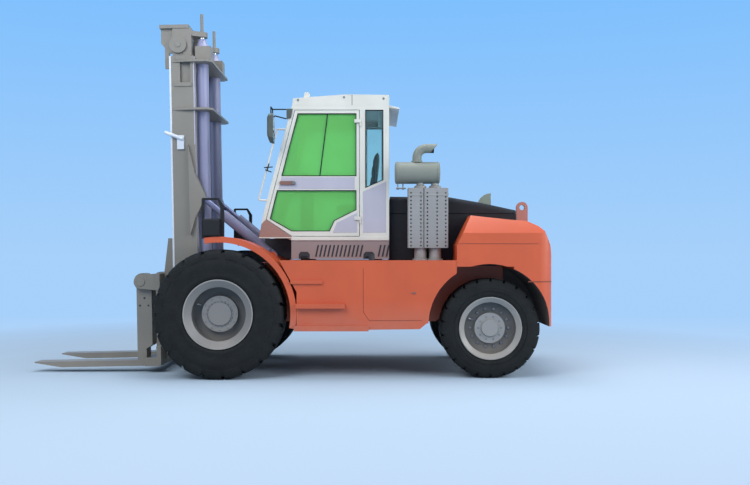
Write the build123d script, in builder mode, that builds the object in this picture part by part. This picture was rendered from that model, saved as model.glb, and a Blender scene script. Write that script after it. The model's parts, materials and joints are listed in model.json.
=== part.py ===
from build123d import *
import os
from math import cos, hypot, radians, sin

os.makedirs("parts", exist_ok=True)

# Frame of the part
# The truck faces -X, its left side is -Y, Z is up and the ground is z = 0.
# "out" in a name is a distance from the centre plane, the same on both sides.

# Driving dimensions, all in millimetres and degrees
TAIL_X = 3098
FRONT_AXLE_X = -742
REAR_AXLE_X = 2382
RUN_GAP = 0.05
FREE_GAP = 6

FRONT_TYRE_R = 745
FRONT_TYRE_OUT = 1225
FRONT_TYRE_W = 520
FRONT_RIM_R = 400
FRONT_RIM_HOLE_R = 311
FRONT_HUB_R = 209
FRONT_HUB_SET = 158
FRONT_SPINDLE_R = 80

REAR_TYRE_R = 576
REAR_TYRE_OUT = 1080
REAR_TYRE_W = 410
REAR_RIM_R = 363
REAR_RIM_HOLE_R = 300
REAR_HUB_R = 177
REAR_HUB_SET = 90
REAR_SPINDLE_R = 45

KINGPIN_OUT = 775
KINGPIN_R = 30
KNUCKLE_R = 62
KNUCKLE_H = 180
YOKE_T = 40
YOKE_R = 80
AXLE_BEAM_HALF = 80

BODY_OUT = 1150
BOX_IN = 640
BOX_TOP = 1362
BOX_BOTTOM = 559
BOX_REAR_X = 1984
SILL_FRONT_X = 122
SILL_REAR_X = 975
SILL_PROUD = 30
SILL_H = 60
FENDER_R = 890
FENDER_T = 12
FENDER_LIP = 68
FENDER_LIP_T = 14
FENDER_IN = 650
FENDER_START = 101
FENDER_END = -11
ARCH_X = 2358
ARCH_Z = 623
ARCH_R = 698
WELL_IN = 345

RAIL_PLATE_IN = 290
RAIL_PLATE_OUT = 330
FRAME_FRONT_X = -760
FRAME_REAR_X = 2950
FRAME_TOP = 1290
FRAME_REAR_LOW = 740
DECK_T = 40
AXLE_PAD_TOP = 890

TILT_X = -1000
TILT_Z = 640
LEAN = 1.1
TILT_PIN_R = 45
TILT_BOSS_R = 78
TILT_LUG_IN = 495
TILT_LUG_OUT = 565
TILT_EAR_T = 25

MAST_OUT = 560
MAST_FRONT_X = -1395
MAST_REAR_X = -1095
MAST_BOTTOM = 250
MAST_TOP = 3850
MAST_WEB = 28
MAST_FLANGE = 30
MAST_FLANGE_W = 123
INNER_GAP_X = 5
INNER_GAP_Y = 10
INNER_WEB = 25
INNER_FLANGE = 28
INNER_FLANGE_W = 122
INNER_BOTTOM = 300
INNER_TOP = 4197

CYL_X = -1022
CYL_OUT = 390
CYL_R = 65
CYL_BORE_R = 55
CYL_BOTTOM = 290
CYL_TOP = 3992
GLAND_TOP = 4085
GLAND_TOP_R = 46
LIFT_ROD_R = 40
ROD_GAP = 0.5
LUG_LOW = 4107
LUG_HIGH = 4167
STUD_R = 19
STUD_TOP = 4398
COLLAR_T = 26
COLLAR_REAR_X = -876
COLLAR_OUT = 596
COLLAR_Z = (3188, 3772)

EYE_PIN_X = -1030
EYE_PIN_Z = 2136
EYE_PIN_R = 25
EYE_SLACK = 11
EYE_R = 50
EYE_OUT = 560
EYE_W = 50
CLEVIS_T = 22
ANCHOR_X = -190
ANCHOR_Z = 1415
TILT_CYL_R = 62.5
TILT_BORE_R = 50
TILT_ROD_R = 35
TILT_ROD_L = 620
TILT_CYL_L = 790
TILT_EYE_R = 58

CARRIAGE_IN = 340
CARRIAGE_T = 55
CARRIAGE_REAR_X = -1180
CARRIAGE_FRONT_X = -1547
CARRIAGE_LOW = 150
CARRIAGE_TOP = 1640
BAR_T = 55
UPPER_BAR = (1010, 1210)
LOWER_BAR = (95, 190)
BAR_OUT = 620
SHAFT_X = -1778
SHAFT_Z = 1114
SHAFT_R = 50
FORK_TIP_X = -3107.6
FORK_FACE_X = -1850
FORK_BACK_X = -1667
FORK_IN = 340
FORK_OUT = 540
FORK_LOW = 90
FORK_T = 72
FORK_EYE_R = 104

CAB_OUT = 750
CAB_REAR_X = 1217
CAB_FLOOR = 1596
CAB_SILL = 1640
CAB_WALL = 50
ROOF_LOW = 3211
HOOD_OUT = 650
HOOD_FRONT_X = 1230
HOOD_REAR_X = 2746
HOOD_LOW = 1925

front_centre = (FRONT_AXLE_X, 0, FRONT_TYRE_R)
rear_centre = (REAR_AXLE_X, 0, REAR_TYRE_R)
front_spin = Axis(front_centre, (0, 1, 0))
rear_spin = Axis(rear_centre, (0, 1, 0))
tilt_axis = Axis((TILT_X, 0, TILT_Z), (0, 1, 0))


def leaned(solid):
    """Lean a piece of the upright mast forward about its pivot, as it stands at rest."""
    return solid.rotate(tilt_axis, -LEAN)


def leaned_point(x, z):
    """The place of a point of the upright mast after the lean."""
    dx, dz = x - TILT_X, z - TILT_Z
    a = radians(LEAN)
    return (TILT_X + dx * cos(a) - dz * sin(a), TILT_Z + dx * sin(a) + dz * cos(a))


def section_plane(x, z):
    """A plane through a wheel's axis: its x runs out to the left, its y runs up."""
    return Plane(origin=(x, 0, z), x_dir=(0, -1, 0), z_dir=(-1, 0, 0))


def save(builder, label):
    builder.part.label = label
    export_step(builder.part, "parts/" + label + ".step")


def save_leaned(builder, label):
    """Save a piece of the mast at its rest lean."""
    piece = leaned(builder.part)
    piece.label = label
    export_step(piece, "parts/" + label + ".step")


def mirrored(builder):
    """The same piece on the other side of the centre plane."""
    with BuildPart() as other:
        add(mirror(builder.part, about=Plane.XZ, mode=Mode.PRIVATE))
    return other


# Front tyres and rims
front_in = FRONT_TYRE_OUT - FRONT_TYRE_W
FRONT_BEAD_R = FRONT_RIM_R - 22
with BuildPart() as tyre_front_left:
    with BuildSketch(section_plane(FRONT_AXLE_X, FRONT_TYRE_R)):
        # distance out, radius
        Polygon(
            (front_in + 38, FRONT_BEAD_R), (front_in + 38, FRONT_RIM_R + 2), (front_in + 8, 470),
            (front_in, 560), (front_in + 12, 650),
            (front_in + 48, FRONT_TYRE_R - 8), (front_in + 90, FRONT_TYRE_R),
            (FRONT_TYRE_OUT - 90, FRONT_TYRE_R), (FRONT_TYRE_OUT - 48, FRONT_TYRE_R - 8),
            (FRONT_TYRE_OUT - 12, 650), (FRONT_TYRE_OUT, 560), (FRONT_TYRE_OUT - 8, 470),
            (FRONT_TYRE_OUT - 38, FRONT_RIM_R + 2), (FRONT_TYRE_OUT - 38, FRONT_BEAD_R),
            align=None,
        )
    revolve(axis=front_spin)

front_hub_face = FRONT_TYRE_OUT - FRONT_HUB_SET
FRONT_DISC_OUT = front_hub_face - 62
FRONT_DISC_T = 40
with BuildPart() as rim_front_left:
    with BuildSketch(section_plane(FRONT_AXLE_X, FRONT_TYRE_R)):
        Polygon(
            (FRONT_DISC_OUT, FRONT_SPINDLE_R + RUN_GAP), (FRONT_DISC_OUT, FRONT_RIM_HOLE_R),
            (FRONT_TYRE_OUT - 75, FRONT_RIM_HOLE_R), (FRONT_TYRE_OUT - 16, FRONT_RIM_R - 12),
            (FRONT_TYRE_OUT - 16, FRONT_RIM_R), (FRONT_TYRE_OUT - 36, FRONT_RIM_R),
            (FRONT_TYRE_OUT - 36, FRONT_BEAD_R), (front_in + 40, FRONT_BEAD_R),
            (front_in + 40, FRONT_BEAD_R - 34), (FRONT_DISC_OUT - FRONT_DISC_T, FRONT_BEAD_R - 34),
            (FRONT_DISC_OUT - FRONT_DISC_T, FRONT_SPINDLE_R + RUN_GAP),
            align=None,
        )
    revolve(axis=front_spin)
    with BuildSketch(section_plane(FRONT_AXLE_X, FRONT_TYRE_R)):
        Polygon(
            (FRONT_DISC_OUT, FRONT_SPINDLE_R + RUN_GAP), (FRONT_DISC_OUT, FRONT_HUB_R),
            (front_hub_face, FRONT_HUB_R), (front_hub_face, 133), (front_hub_face + 14, 133),
            (front_hub_face + 14, 0), (front_hub_face - 20, 0),
            (front_hub_face - 20, FRONT_SPINDLE_R + RUN_GAP),
            align=None,
        )
    revolve(axis=front_spin)

# Rear tyres and rims
rear_in = REAR_TYRE_OUT - REAR_TYRE_W
REAR_BEAD_R = REAR_RIM_R - 20
with BuildPart() as tyre_rear_left:
    with BuildSketch(section_plane(REAR_AXLE_X, REAR_TYRE_R)):
        Polygon(
            (rear_in + 34, REAR_BEAD_R), (rear_in + 34, REAR_RIM_R + 2), (rear_in + 6, 400),
            (rear_in, 450), (rear_in + 8, 510),
            (rear_in + 40, REAR_TYRE_R - 7), (rear_in + 75, REAR_TYRE_R),
            (REAR_TYRE_OUT - 75, REAR_TYRE_R), (REAR_TYRE_OUT - 40, REAR_TYRE_R - 7),
            (REAR_TYRE_OUT - 8, 510), (REAR_TYRE_OUT, 450), (REAR_TYRE_OUT - 6, 400),
            (REAR_TYRE_OUT - 34, REAR_RIM_R + 2), (REAR_TYRE_OUT - 34, REAR_BEAD_R),
            align=None,
        )
    revolve(axis=rear_spin)

rear_hub_face = REAR_TYRE_OUT - REAR_HUB_SET
REAR_DISC_OUT = rear_hub_face - 50
REAR_DISC_T = 30
with BuildPart() as rim_rear_left:
    with BuildSketch(section_plane(REAR_AXLE_X, REAR_TYRE_R)):
        Polygon(
            (REAR_DISC_OUT, REAR_SPINDLE_R + RUN_GAP), (REAR_DISC_OUT, REAR_RIM_HOLE_R),
            (REAR_TYRE_OUT - 58, REAR_RIM_HOLE_R), (REAR_TYRE_OUT - 12, REAR_RIM_R - 10),
            (REAR_TYRE_OUT - 12, REAR_RIM_R), (REAR_TYRE_OUT - 32, REAR_RIM_R),
            (REAR_TYRE_OUT - 32, REAR_BEAD_R), (rear_in + 36, REAR_BEAD_R),
            (rear_in + 36, REAR_BEAD_R - 26), (REAR_DISC_OUT - REAR_DISC_T, REAR_BEAD_R - 26),
            (REAR_DISC_OUT - REAR_DISC_T, REAR_SPINDLE_R + RUN_GAP),
            align=None,
        )
    revolve(axis=rear_spin)
    with BuildSketch(section_plane(REAR_AXLE_X, REAR_TYRE_R)):
        Polygon(
            (REAR_DISC_OUT, REAR_SPINDLE_R + RUN_GAP), (REAR_DISC_OUT, REAR_HUB_R),
            (rear_hub_face, REAR_HUB_R), (rear_hub_face, 105), (rear_hub_face + 24, 95),
            (rear_hub_face + 24, 0), (rear_hub_face - 10, 0),
            (rear_hub_face - 10, REAR_SPINDLE_R + RUN_GAP),
            align=None,
        )
    revolve(axis=rear_spin)

# Front drive axle, with the ears that carry the mast
FRONT_BALL_R = 200
FRONT_ARM_R = 125
SPINDLE_REST = 12
with BuildPart() as front_axle:
    with BuildSketch(section_plane(FRONT_AXLE_X, FRONT_TYRE_R)):
        Polygon(
            (0, 0), (0, FRONT_BALL_R), (110, FRONT_BALL_R - 15), (230, FRONT_ARM_R + 20),
            (330, FRONT_ARM_R), (620, FRONT_ARM_R), (620, 170), (660, 170), (660, 240), (690, 240),
            (690, 150), (FRONT_DISC_OUT - FRONT_DISC_T - 8, 120),
            (FRONT_DISC_OUT - FRONT_DISC_T - 8, FRONT_SPINDLE_R),
            (front_hub_face - 20 - SPINDLE_REST, FRONT_SPINDLE_R),
            (front_hub_face - 20 - SPINDLE_REST, 0),
            align=None,
        )
    revolve(axis=front_spin)
    pad_half = 90
    with BuildSketch(Plane.XY.offset(FRONT_TYRE_R)):
        with Locations((FRONT_AXLE_X, -RAIL_PLATE_OUT + 20)):
            Rectangle(2 * pad_half, 80)
    extrude(amount=AXLE_PAD_TOP - FRONT_TYRE_R)
    ear_plates = (TILT_LUG_IN - TILT_EAR_T - 5, TILT_LUG_OUT + 5)
    for ear_out in ear_plates:
        with BuildSketch(Plane.XZ.offset(ear_out)):
            with BuildLine():
                Polyline(
                    (FRONT_AXLE_X, FRONT_TYRE_R + 150), (TILT_X, TILT_Z + TILT_BOSS_R),
                    (TILT_X, TILT_Z - TILT_BOSS_R), (FRONT_AXLE_X, FRONT_TYRE_R - 150), close=True,
                )
            make_face()
            with Locations((TILT_X, TILT_Z)):
                Circle(TILT_BOSS_R)
        extrude(amount=TILT_EAR_T)
    with BuildSketch(Plane.XZ.offset(TILT_LUG_IN - TILT_EAR_T - 5)):
        with Locations((TILT_X, TILT_Z)):
            Circle(TILT_PIN_R)
    extrude(amount=TILT_LUG_OUT - TILT_LUG_IN + 2 * TILT_EAR_T + 10)
    mirror(about=Plane.XZ)

# Rear steering axle
BEAM_END = 640
with BuildPart() as rear_axle:
    with BuildSketch(Plane.XZ.offset(-BEAM_END)):
        with Locations((REAR_AXLE_X, REAR_TYRE_R)):
            RectangleRounded(2 * AXLE_BEAM_HALF + 20, 2 * AXLE_BEAM_HALF, 25)
    extrude(amount=2 * BEAM_END)
    yoke_h = KNUCKLE_H / 2 + FREE_GAP
    for base in (yoke_h, -yoke_h - YOKE_T):
        with BuildSketch(Plane.XY.offset(REAR_TYRE_R + base)):
            with Locations((REAR_AXLE_X, -KINGPIN_OUT)):
                Circle(YOKE_R)
            with Locations((REAR_AXLE_X, -(KINGPIN_OUT + BEAM_END - 40) / 2)):
                Rectangle(2 * YOKE_R, KINGPIN_OUT - BEAM_END + 40)
        extrude(amount=YOKE_T)
    with BuildSketch(Plane.XY.offset(REAR_TYRE_R - yoke_h - YOKE_T)):
        with Locations((REAR_AXLE_X, -BEAM_END + 20)):
            Rectangle(2 * YOKE_R, 40)
    extrude(amount=2 * (yoke_h + YOKE_T))
    with BuildSketch(Plane.XY.offset(REAR_TYRE_R - yoke_h - YOKE_T)):
        with Locations((REAR_AXLE_X, -KINGPIN_OUT)):
            Circle(KINGPIN_R)
    extrude(amount=2 * (yoke_h + YOKE_T))
    mirror(about=Plane.XZ)

# Steering knuckles
with BuildPart() as knuckle_left:
    with BuildSketch(Plane.XY.offset(REAR_TYRE_R - KNUCKLE_H / 2)):
        with Locations((REAR_AXLE_X, -KINGPIN_OUT)):
            Circle(KNUCKLE_R)
    extrude(amount=KNUCKLE_H)
    with BuildSketch(section_plane(REAR_AXLE_X, REAR_TYRE_R)):
        Polygon(
            (KINGPIN_OUT, 0), (KINGPIN_OUT, 55), (REAR_DISC_OUT - REAR_DISC_T - 40, 55),
            (REAR_DISC_OUT - REAR_DISC_T - 40, 95), (REAR_DISC_OUT - REAR_DISC_T - 8, 95),
            (REAR_DISC_OUT - REAR_DISC_T - 8, REAR_SPINDLE_R),
            (rear_hub_face - 10 - SPINDLE_REST, REAR_SPINDLE_R),
            (rear_hub_face - 10 - SPINDLE_REST, 0),
            align=None,
        )
    revolve(axis=rear_spin)
    with BuildSketch(Plane.XY.offset(REAR_TYRE_R - KNUCKLE_H / 2)):
        with Locations((REAR_AXLE_X, -KINGPIN_OUT)):
            Circle(KINGPIN_R + RUN_GAP)
    extrude(amount=KNUCKLE_H, mode=Mode.SUBTRACT)

# Chassis frame: two long plates, cross plates and the deck that the cab stands on
with BuildPart() as chassis_frame:
    with BuildSketch(Plane.XZ.offset(RAIL_PLATE_IN)):
        Polygon(
            (FRAME_FRONT_X, FRAME_TOP), (FRAME_FRONT_X, AXLE_PAD_TOP), (FRONT_AXLE_X + 200, AXLE_PAD_TOP),
            (FRONT_AXLE_X + 420, 600), (1800, 600), (2000, FRAME_REAR_LOW), (FRAME_REAR_X, FRAME_REAR_LOW),
            (FRAME_REAR_X, FRAME_TOP),
            align=None,
        )
    extrude(amount=RAIL_PLATE_OUT - RAIL_PLATE_IN)
    mirror(about=Plane.XZ)
    # centre x, low z, high z of each cross plate
    cross_plates = ((-690, 960, 1290), (60, 600, 1000), (1240, 600, 760), (1900, 680, 1290))
    for plate_x, low, high in cross_plates:
        with BuildSketch(Plane.XY.offset(low)):
            with Locations((plate_x, 0)):
                Rectangle(30, 2 * RAIL_PLATE_OUT)
        extrude(amount=high - low)
    with BuildSketch(Plane.XY.offset(FRAME_TOP)):
        with Locations((-700 / 2 + BOX_REAR_X / 2, 0)):
            Rectangle(BOX_REAR_X + 700 - 60, 2 * RAIL_PLATE_OUT)
        with Locations(((-270 + BOX_REAR_X - 30) / 2, 0)):
            Rectangle(BOX_REAR_X - 30 + 270, 2 * BOX_IN)
    extrude(amount=DECK_T)
    # engine bay opening in the deck
    with BuildSketch(Plane.XY.offset(FRAME_TOP)):
        with Locations((1600, 0)):
            Rectangle(600, 2 * RAIL_PLATE_IN)
    extrude(amount=DECK_T, mode=Mode.SUBTRACT)
    # rear axle cradle
    with BuildSketch(Plane.XY.offset(REAR_TYRE_R + AXLE_BEAM_HALF)):
        with Locations((REAR_AXLE_X, 0)):
            Rectangle(240, 2 * RAIL_PLATE_OUT)
    extrude(amount=120)
    # brackets of the tilt cylinders
    ear_gap = EYE_W / 2 + 3
    for ear_out in (EYE_OUT - ear_gap - CLEVIS_T, EYE_OUT + ear_gap):
        for side in (1, -1):
            with BuildSketch(Plane.XZ.offset(side * (ear_out + CLEVIS_T / 2) - CLEVIS_T / 2)):
                with BuildLine():
                    Polyline(
                        (ANCHOR_X - 75, FRAME_TOP + DECK_T), (ANCHOR_X - 48, ANCHOR_Z),
                        (ANCHOR_X + 48, ANCHOR_Z), (ANCHOR_X + 130, FRAME_TOP + DECK_T), close=True,
                    )
                make_face()
                with Locations((ANCHOR_X, ANCHOR_Z)):
                    Circle(50)
            extrude(amount=CLEVIS_T)
    for side in (1, -1):
        with BuildSketch(Plane.XZ.offset(side * EYE_OUT - ear_gap - CLEVIS_T)):
            with Locations((ANCHOR_X, ANCHOR_Z)):
                Circle(EYE_PIN_R)
        extrude(amount=2 * (ear_gap + CLEVIS_T))

# Engine
with BuildPart() as engine_block:
    with BuildSketch(Plane.XY.offset(900)):
        with Locations((1600, 0)):
            Rectangle(560, 2 * RAIL_PLATE_IN)
    extrude(amount=900)

# Side boxes with the front fenders and the steps
with BuildPart() as side_box_left:
    with BuildSketch(Plane.XZ.offset(BOX_IN)):
        Polygon(
            (150, BOX_BOTTOM), (1560, BOX_BOTTOM + 16), (1640, 640), (BOX_REAR_X, 640),
            (BOX_REAR_X, BOX_TOP), (-50, BOX_TOP), (150, 1000),
            align=None,
        )
        with Locations((FRONT_AXLE_X, FRONT_TYRE_R)):
            Circle(FENDER_R, mode=Mode.SUBTRACT)
        with Locations((ARCH_X, ARCH_Z)):
            Circle(ARCH_R, mode=Mode.SUBTRACT)
    extrude(amount=BODY_OUT - BOX_IN)
    # fender sheet and its lip
    fender_rings = ((FENDER_IN, BODY_OUT, FENDER_T), (BODY_OUT - FENDER_LIP_T, BODY_OUT, FENDER_LIP))
    for inner, outer, depth in fender_rings:
        with BuildSketch(Plane.XZ.offset(inner)):
            with BuildLine():
                lip = CenterArc((FRONT_AXLE_X, FRONT_TYRE_R), FENDER_R, FENDER_END, FENDER_START - FENDER_END)
                low = CenterArc(
                    (FRONT_AXLE_X, FRONT_TYRE_R), FENDER_R - depth, FENDER_END, FENDER_START - FENDER_END)
                Line(lip @ 0, low @ 0)
                Line(lip @ 1, low @ 1)
            make_face()
        extrude(amount=outer - inner)
    # front sill
    with BuildSketch(Plane.XZ.offset(BODY_OUT)):
        with Locations(((SILL_FRONT_X + SILL_REAR_X) / 2, BOX_BOTTOM - 6 + SILL_H / 2)):
            Rectangle(SILL_REAR_X - SILL_FRONT_X, SILL_H)
    extrude(amount=SILL_PROUD)
    # step treads: low x, high x, low z, high z, how far proud of the side
    treads = ((80, 450, 1093, 1136, 20), (143, 703, 814, 866, 60))
    for x0, x1, z0, z1, proud in treads:
        with BuildSketch(Plane.XZ.offset(BODY_OUT)):
            with Locations(((x0 + x1) / 2, (z0 + z1) / 2)):
                Rectangle(x1 - x0, z1 - z0)
        extrude(amount=proud)

# Counterweight
SHOULDER_W = 160
SHOULDER_LOW = 1675
CW_FRONT_X = BOX_REAR_X + 2
CW_CORNER_R = 170
CW_TOP = 1884
LUG_X = 2930
LUG_HOLE_Z = 2032
TOW_X = 3040
TOW_Z = 740
TOW_R = 22
LAMP_OUT = 880
LAMP_Z = 1230
LAMP_W = 150
LAMP_H = 240
LAMP_POCKET = 40
with BuildPart() as counterweight:
    with BuildSketch(Plane.XZ.offset(-BODY_OUT)):
        Polygon(
            (CW_FRONT_X, FRAME_TOP), (CW_FRONT_X, 1536), (2162, CW_TOP), (2661, 1828), (HOOD_REAR_X, 1824),
            (2794, 1822), (2932, 1758), (2995, 1700), (3072, 1536), (TAIL_X, 1390), (TAIL_X, 600), (2640, 600),
            (2640, FRAME_TOP),
            align=None,
        )
    extrude(amount=2 * BODY_OUT)
    with BuildSketch(Plane.XY.offset(500)):
        with Locations((TAIL_X - 900, 0)):
            Rectangle(1800, 2 * BODY_OUT)
        fillet(vertices().group_by(Axis.X)[-1], radius=CW_CORNER_R)
    extrude(amount=1600, mode=Mode.INTERSECT)
    # sloping shoulders between the top and the sides
    for side in (1, -1):
        with BuildSketch(Plane.YZ.offset(CW_FRONT_X - 50)):
            Polygon(
                (side * (BODY_OUT + 10), SHOULDER_LOW - 12), (side * (BODY_OUT + 10), CW_TOP + 100),
                (side * (BODY_OUT - SHOULDER_W), CW_TOP + 100), (side * (BODY_OUT - SHOULDER_W), CW_TOP + 5),
                align=None,
            )
        extrude(amount=1300, mode=Mode.SUBTRACT)
    # wheel wells
    for side in (1, -1):
        with BuildSketch(Plane.XZ.offset(side * WELL_IN)):
            with Locations((ARCH_X, ARCH_Z)):
                Circle(ARCH_R)
        extrude(amount=side * (BODY_OUT - WELL_IN + 20), mode=Mode.SUBTRACT)
    # channel for the frame
    with BuildSketch(Plane.YZ.offset(CW_FRONT_X - 50)):
        with Locations((0, (FRAME_REAR_LOW + FRAME_TOP) / 2)):
            Rectangle(2 * RAIL_PLATE_OUT, FRAME_TOP - FRAME_REAR_LOW)
    extrude(amount=FRAME_REAR_X - CW_FRONT_X + 50, mode=Mode.SUBTRACT)
    # lifting lug
    with BuildSketch(Plane.XZ.offset(-30)):
        with BuildLine():
            Polyline((LUG_X - 72, 1700), (LUG_X - 72, LUG_HOLE_Z), (LUG_X + 72, LUG_HOLE_Z),
                     (LUG_X + 72, 1600), (LUG_X - 72, 1600), (LUG_X - 72, 1700))
        make_face()
        with Locations((LUG_X, LUG_HOLE_Z)):
            Circle(72)
            Circle(34, mode=Mode.SUBTRACT)
    extrude(amount=60)
    # tow jaw with its pin hole
    with BuildSketch(Plane.XY.offset(TOW_Z - 50)):
        with Locations((TAIL_X, 0)):
            RectangleRounded(200, 180, 40)
    extrude(amount=100, mode=Mode.SUBTRACT)
    with BuildSketch(Plane.XY.offset(600)):
        with Locations((TOW_X, 0)):
            Circle(TOW_R)
    extrude(amount=2 * (TOW_Z - 600), mode=Mode.SUBTRACT)
    # tail lamp pockets
    for side in (1, -1):
        with BuildSketch(Plane.YZ.offset(TAIL_X - LAMP_POCKET)):
            with Locations((side * LAMP_OUT, LAMP_Z)):
                RectangleRounded(LAMP_W, LAMP_H, 30)
        extrude(amount=2 * LAMP_POCKET, mode=Mode.SUBTRACT)

# Tail lamps
with BuildPart() as tail_lamps:
    with BuildSketch(Plane.YZ.offset(TAIL_X - LAMP_POCKET)):
        with Locations((-LAMP_OUT, LAMP_Z), (LAMP_OUT, LAMP_Z)):
            RectangleRounded(LAMP_W, LAMP_H, 30)
    extrude(amount=LAMP_POCKET - 4)

# Engine side panels
PANEL_T = 30
HOOD_SEAM = 1919
HOOD_HINGE_X = HOOD_REAR_X + 18
HOOD_HINGE_Z = 1920
HOOD_HINGE_OUT = (-450, 450)
HOOD_PIN_R = 6
HINGE_EAR_R = 12
with BuildPart() as engine_panels:
    with BuildSketch(Plane.XZ.offset(HOOD_OUT - PANEL_T)):
        Polygon(
            (HOOD_FRONT_X, BOX_TOP), (CW_FRONT_X, BOX_TOP), (CW_FRONT_X, 1536), (2162, CW_TOP),
            (2661, 1828), (HOOD_REAR_X, 1824), (HOOD_REAR_X, HOOD_SEAM),
            (HOOD_FRONT_X, HOOD_SEAM),
            align=None,
        )
    extrude(amount=PANEL_T)
    mirror(about=Plane.XZ)
    # x, low z, high z of the cross walls
    for wall_x, low in ((HOOD_FRONT_X, FRAME_TOP + DECK_T), (HOOD_REAR_X - PANEL_T, 1828)):
        with BuildSketch(Plane.XY.offset(low)):
            with Locations((wall_x + PANEL_T / 2, 0)):
                Rectangle(PANEL_T, 2 * HOOD_OUT - 20)
        extrude(amount=HOOD_SEAM - low)
    # hinge ears and pins of the hood
    for hinge_out in HOOD_HINGE_OUT:
        for start in (hinge_out - 25, hinge_out + 15):
            with BuildSketch(Plane.XZ.offset(start)):
                Polygon(
                    (HOOD_REAR_X - 5, HOOD_HINGE_Z - 45), (HOOD_REAR_X - 5, HOOD_HINGE_Z - 8),
                    (HOOD_HINGE_X, HOOD_HINGE_Z + HINGE_EAR_R), (HOOD_HINGE_X + 8, HOOD_HINGE_Z - 8),
                    align=None,
                )
                with Locations((HOOD_HINGE_X, HOOD_HINGE_Z)):
                    Circle(HINGE_EAR_R)
            extrude(amount=10)
        with BuildSketch(Plane.XZ.offset(hinge_out - 25)):
            with Locations((HOOD_HINGE_X, HOOD_HINGE_Z)):
                Circle(HOOD_PIN_R)
        extrude(amount=50)

# Hood, a shell open below
HOOD_T = 18
with BuildPart() as hood:
    with BuildSketch(Plane.XZ.offset(-HOOD_OUT)):
        Polygon(
            (HOOD_FRONT_X, HOOD_LOW), (HOOD_FRONT_X, 2130), (1933, 2126), (2309, 2061), (HOOD_REAR_X, 1966),
            (HOOD_REAR_X, HOOD_LOW),
            align=None,
        )
    extrude(amount=2 * HOOD_OUT)
    rims = edges().filter_by(
        lambda e: abs(abs(e.center().Y) - HOOD_OUT) < 1 and e.center().Z > 1970 and e.length > 300)
    fillet(rims, radius=60)
    offset(amount=-HOOD_T, openings=faces().sort_by(Axis.Z)[0])
    with BuildSketch(Plane.XZ.offset(-30)):
        with BuildLine():
            fin = CenterArc((2530, 2050), 165, 90, 90)
            Polyline(fin @ 0, (2530, 2003), (2365, 2038), fin @ 1)
        make_face()
    extrude(amount=60)
    # hinge lugs
    for hinge_out in HOOD_HINGE_OUT:
        with BuildSketch(Plane.XZ.offset(hinge_out - 10)):
            Polygon(
                (HOOD_REAR_X - 5, HOOD_LOW + 5), (HOOD_REAR_X - 5, HOOD_LOW + 36),
                (HOOD_HINGE_X + 10, HOOD_HINGE_Z + 6), (HOOD_HINGE_X, HOOD_HINGE_Z),
                align=None,
            )
            with Locations((HOOD_HINGE_X, HOOD_HINGE_Z)):
                Circle(HINGE_EAR_R)
                Circle(HOOD_PIN_R + RUN_GAP, mode=Mode.SUBTRACT)
        extrude(amount=20)

# Muffler, tail pipe and the two upright pipes
MUFFLER_OUT = 850
MUFFLER_X = (1282, 1812)
MUFFLER_Z = 2392
MUFFLER_R = 128
PIPE_R = 72
TAIL_PIPE_R = 54
pipe_xs = (1563, 1760)
with BuildPart() as muffler:
    with BuildSketch(Plane.YZ.offset(MUFFLER_X[0])):
        with Locations((-MUFFLER_OUT, MUFFLER_Z)):
            Circle(MUFFLER_R)
    extrude(amount=MUFFLER_X[1] - MUFFLER_X[0])
    with BuildLine() as tail_path:
        FilletPolyline(
            (1543, -MUFFLER_OUT, MUFFLER_Z + 60), (1543, -MUFFLER_OUT, 2681), (1790, -MUFFLER_OUT, 2681),
            radius=110,
        )
    with BuildSketch(Plane.XY.offset(MUFFLER_Z + 60)):
        with Locations((1543, -MUFFLER_OUT)):
            Circle(TAIL_PIPE_R)
    sweep(path=tail_path.line)
    with BuildSketch(Plane.XZ.offset(MUFFLER_OUT - 100)):
        Polygon((1700, 2750), (1830, 2750), (1830, 2600), (1776, 2600), align=None)
    extrude(amount=200, mode=Mode.SUBTRACT)
    with BuildSketch(Plane.YZ.offset(1720)):
        with Locations((-MUFFLER_OUT, 2681)):
            Circle(TAIL_PIPE_R - 6)
    extrude(amount=120, mode=Mode.SUBTRACT)
    for pipe_x in pipe_xs:
        with BuildSketch(Plane.XY.offset(BOX_TOP)):
            with Locations((pipe_x, -MUFFLER_OUT)):
                Circle(PIPE_R)
        extrude(amount=MUFFLER_Z - BOX_TOP - 140)
        with BuildSketch(Plane.XY.offset(BOX_TOP)):
            with Locations((pipe_x, -MUFFLER_OUT)):
                Circle(45)
        extrude(amount=MUFFLER_Z - BOX_TOP)
        with BuildSketch(Plane.XY.offset(BOX_TOP)):
            with Locations((pipe_x, -MUFFLER_OUT)):
                Circle(PIPE_R + 22)
        extrude(amount=18)

# Heat shields round the upright pipes
SHIELD_LOW = 1507
SHIELD_HIGH = 2209
SHIELD_T = 6
# centre x, width along x, width across
shields = ((1541, 212, 216), (1778, 258, 216))
with BuildPart() as exhaust_shields:
    for centre, width, depth in shields:
        with BuildSketch(Plane.XY.offset(SHIELD_LOW)):
            with Locations((centre, -MUFFLER_OUT)):
                RectangleRounded(width, depth, 50)
                RectangleRounded(width - 2 * SHIELD_T, depth - 2 * SHIELD_T, 50 - SHIELD_T, mode=Mode.SUBTRACT)
        extrude(amount=SHIELD_HIGH - SHIELD_LOW)
    for pipe_x, (centre, width, depth) in zip(pipe_xs, shields):
        for band_z in (1600, 2100):
            with BuildSketch(Plane.XY.offset(band_z)):
                with Locations((centre, -MUFFLER_OUT)):
                    RectangleRounded(width - 2 * SHIELD_T, depth - 2 * SHIELD_T, 50 - SHIELD_T)
                with Locations((pipe_x, -MUFFLER_OUT)):
                    Circle(PIPE_R, mode=Mode.SUBTRACT)
            extrude(amount=20)

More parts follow.
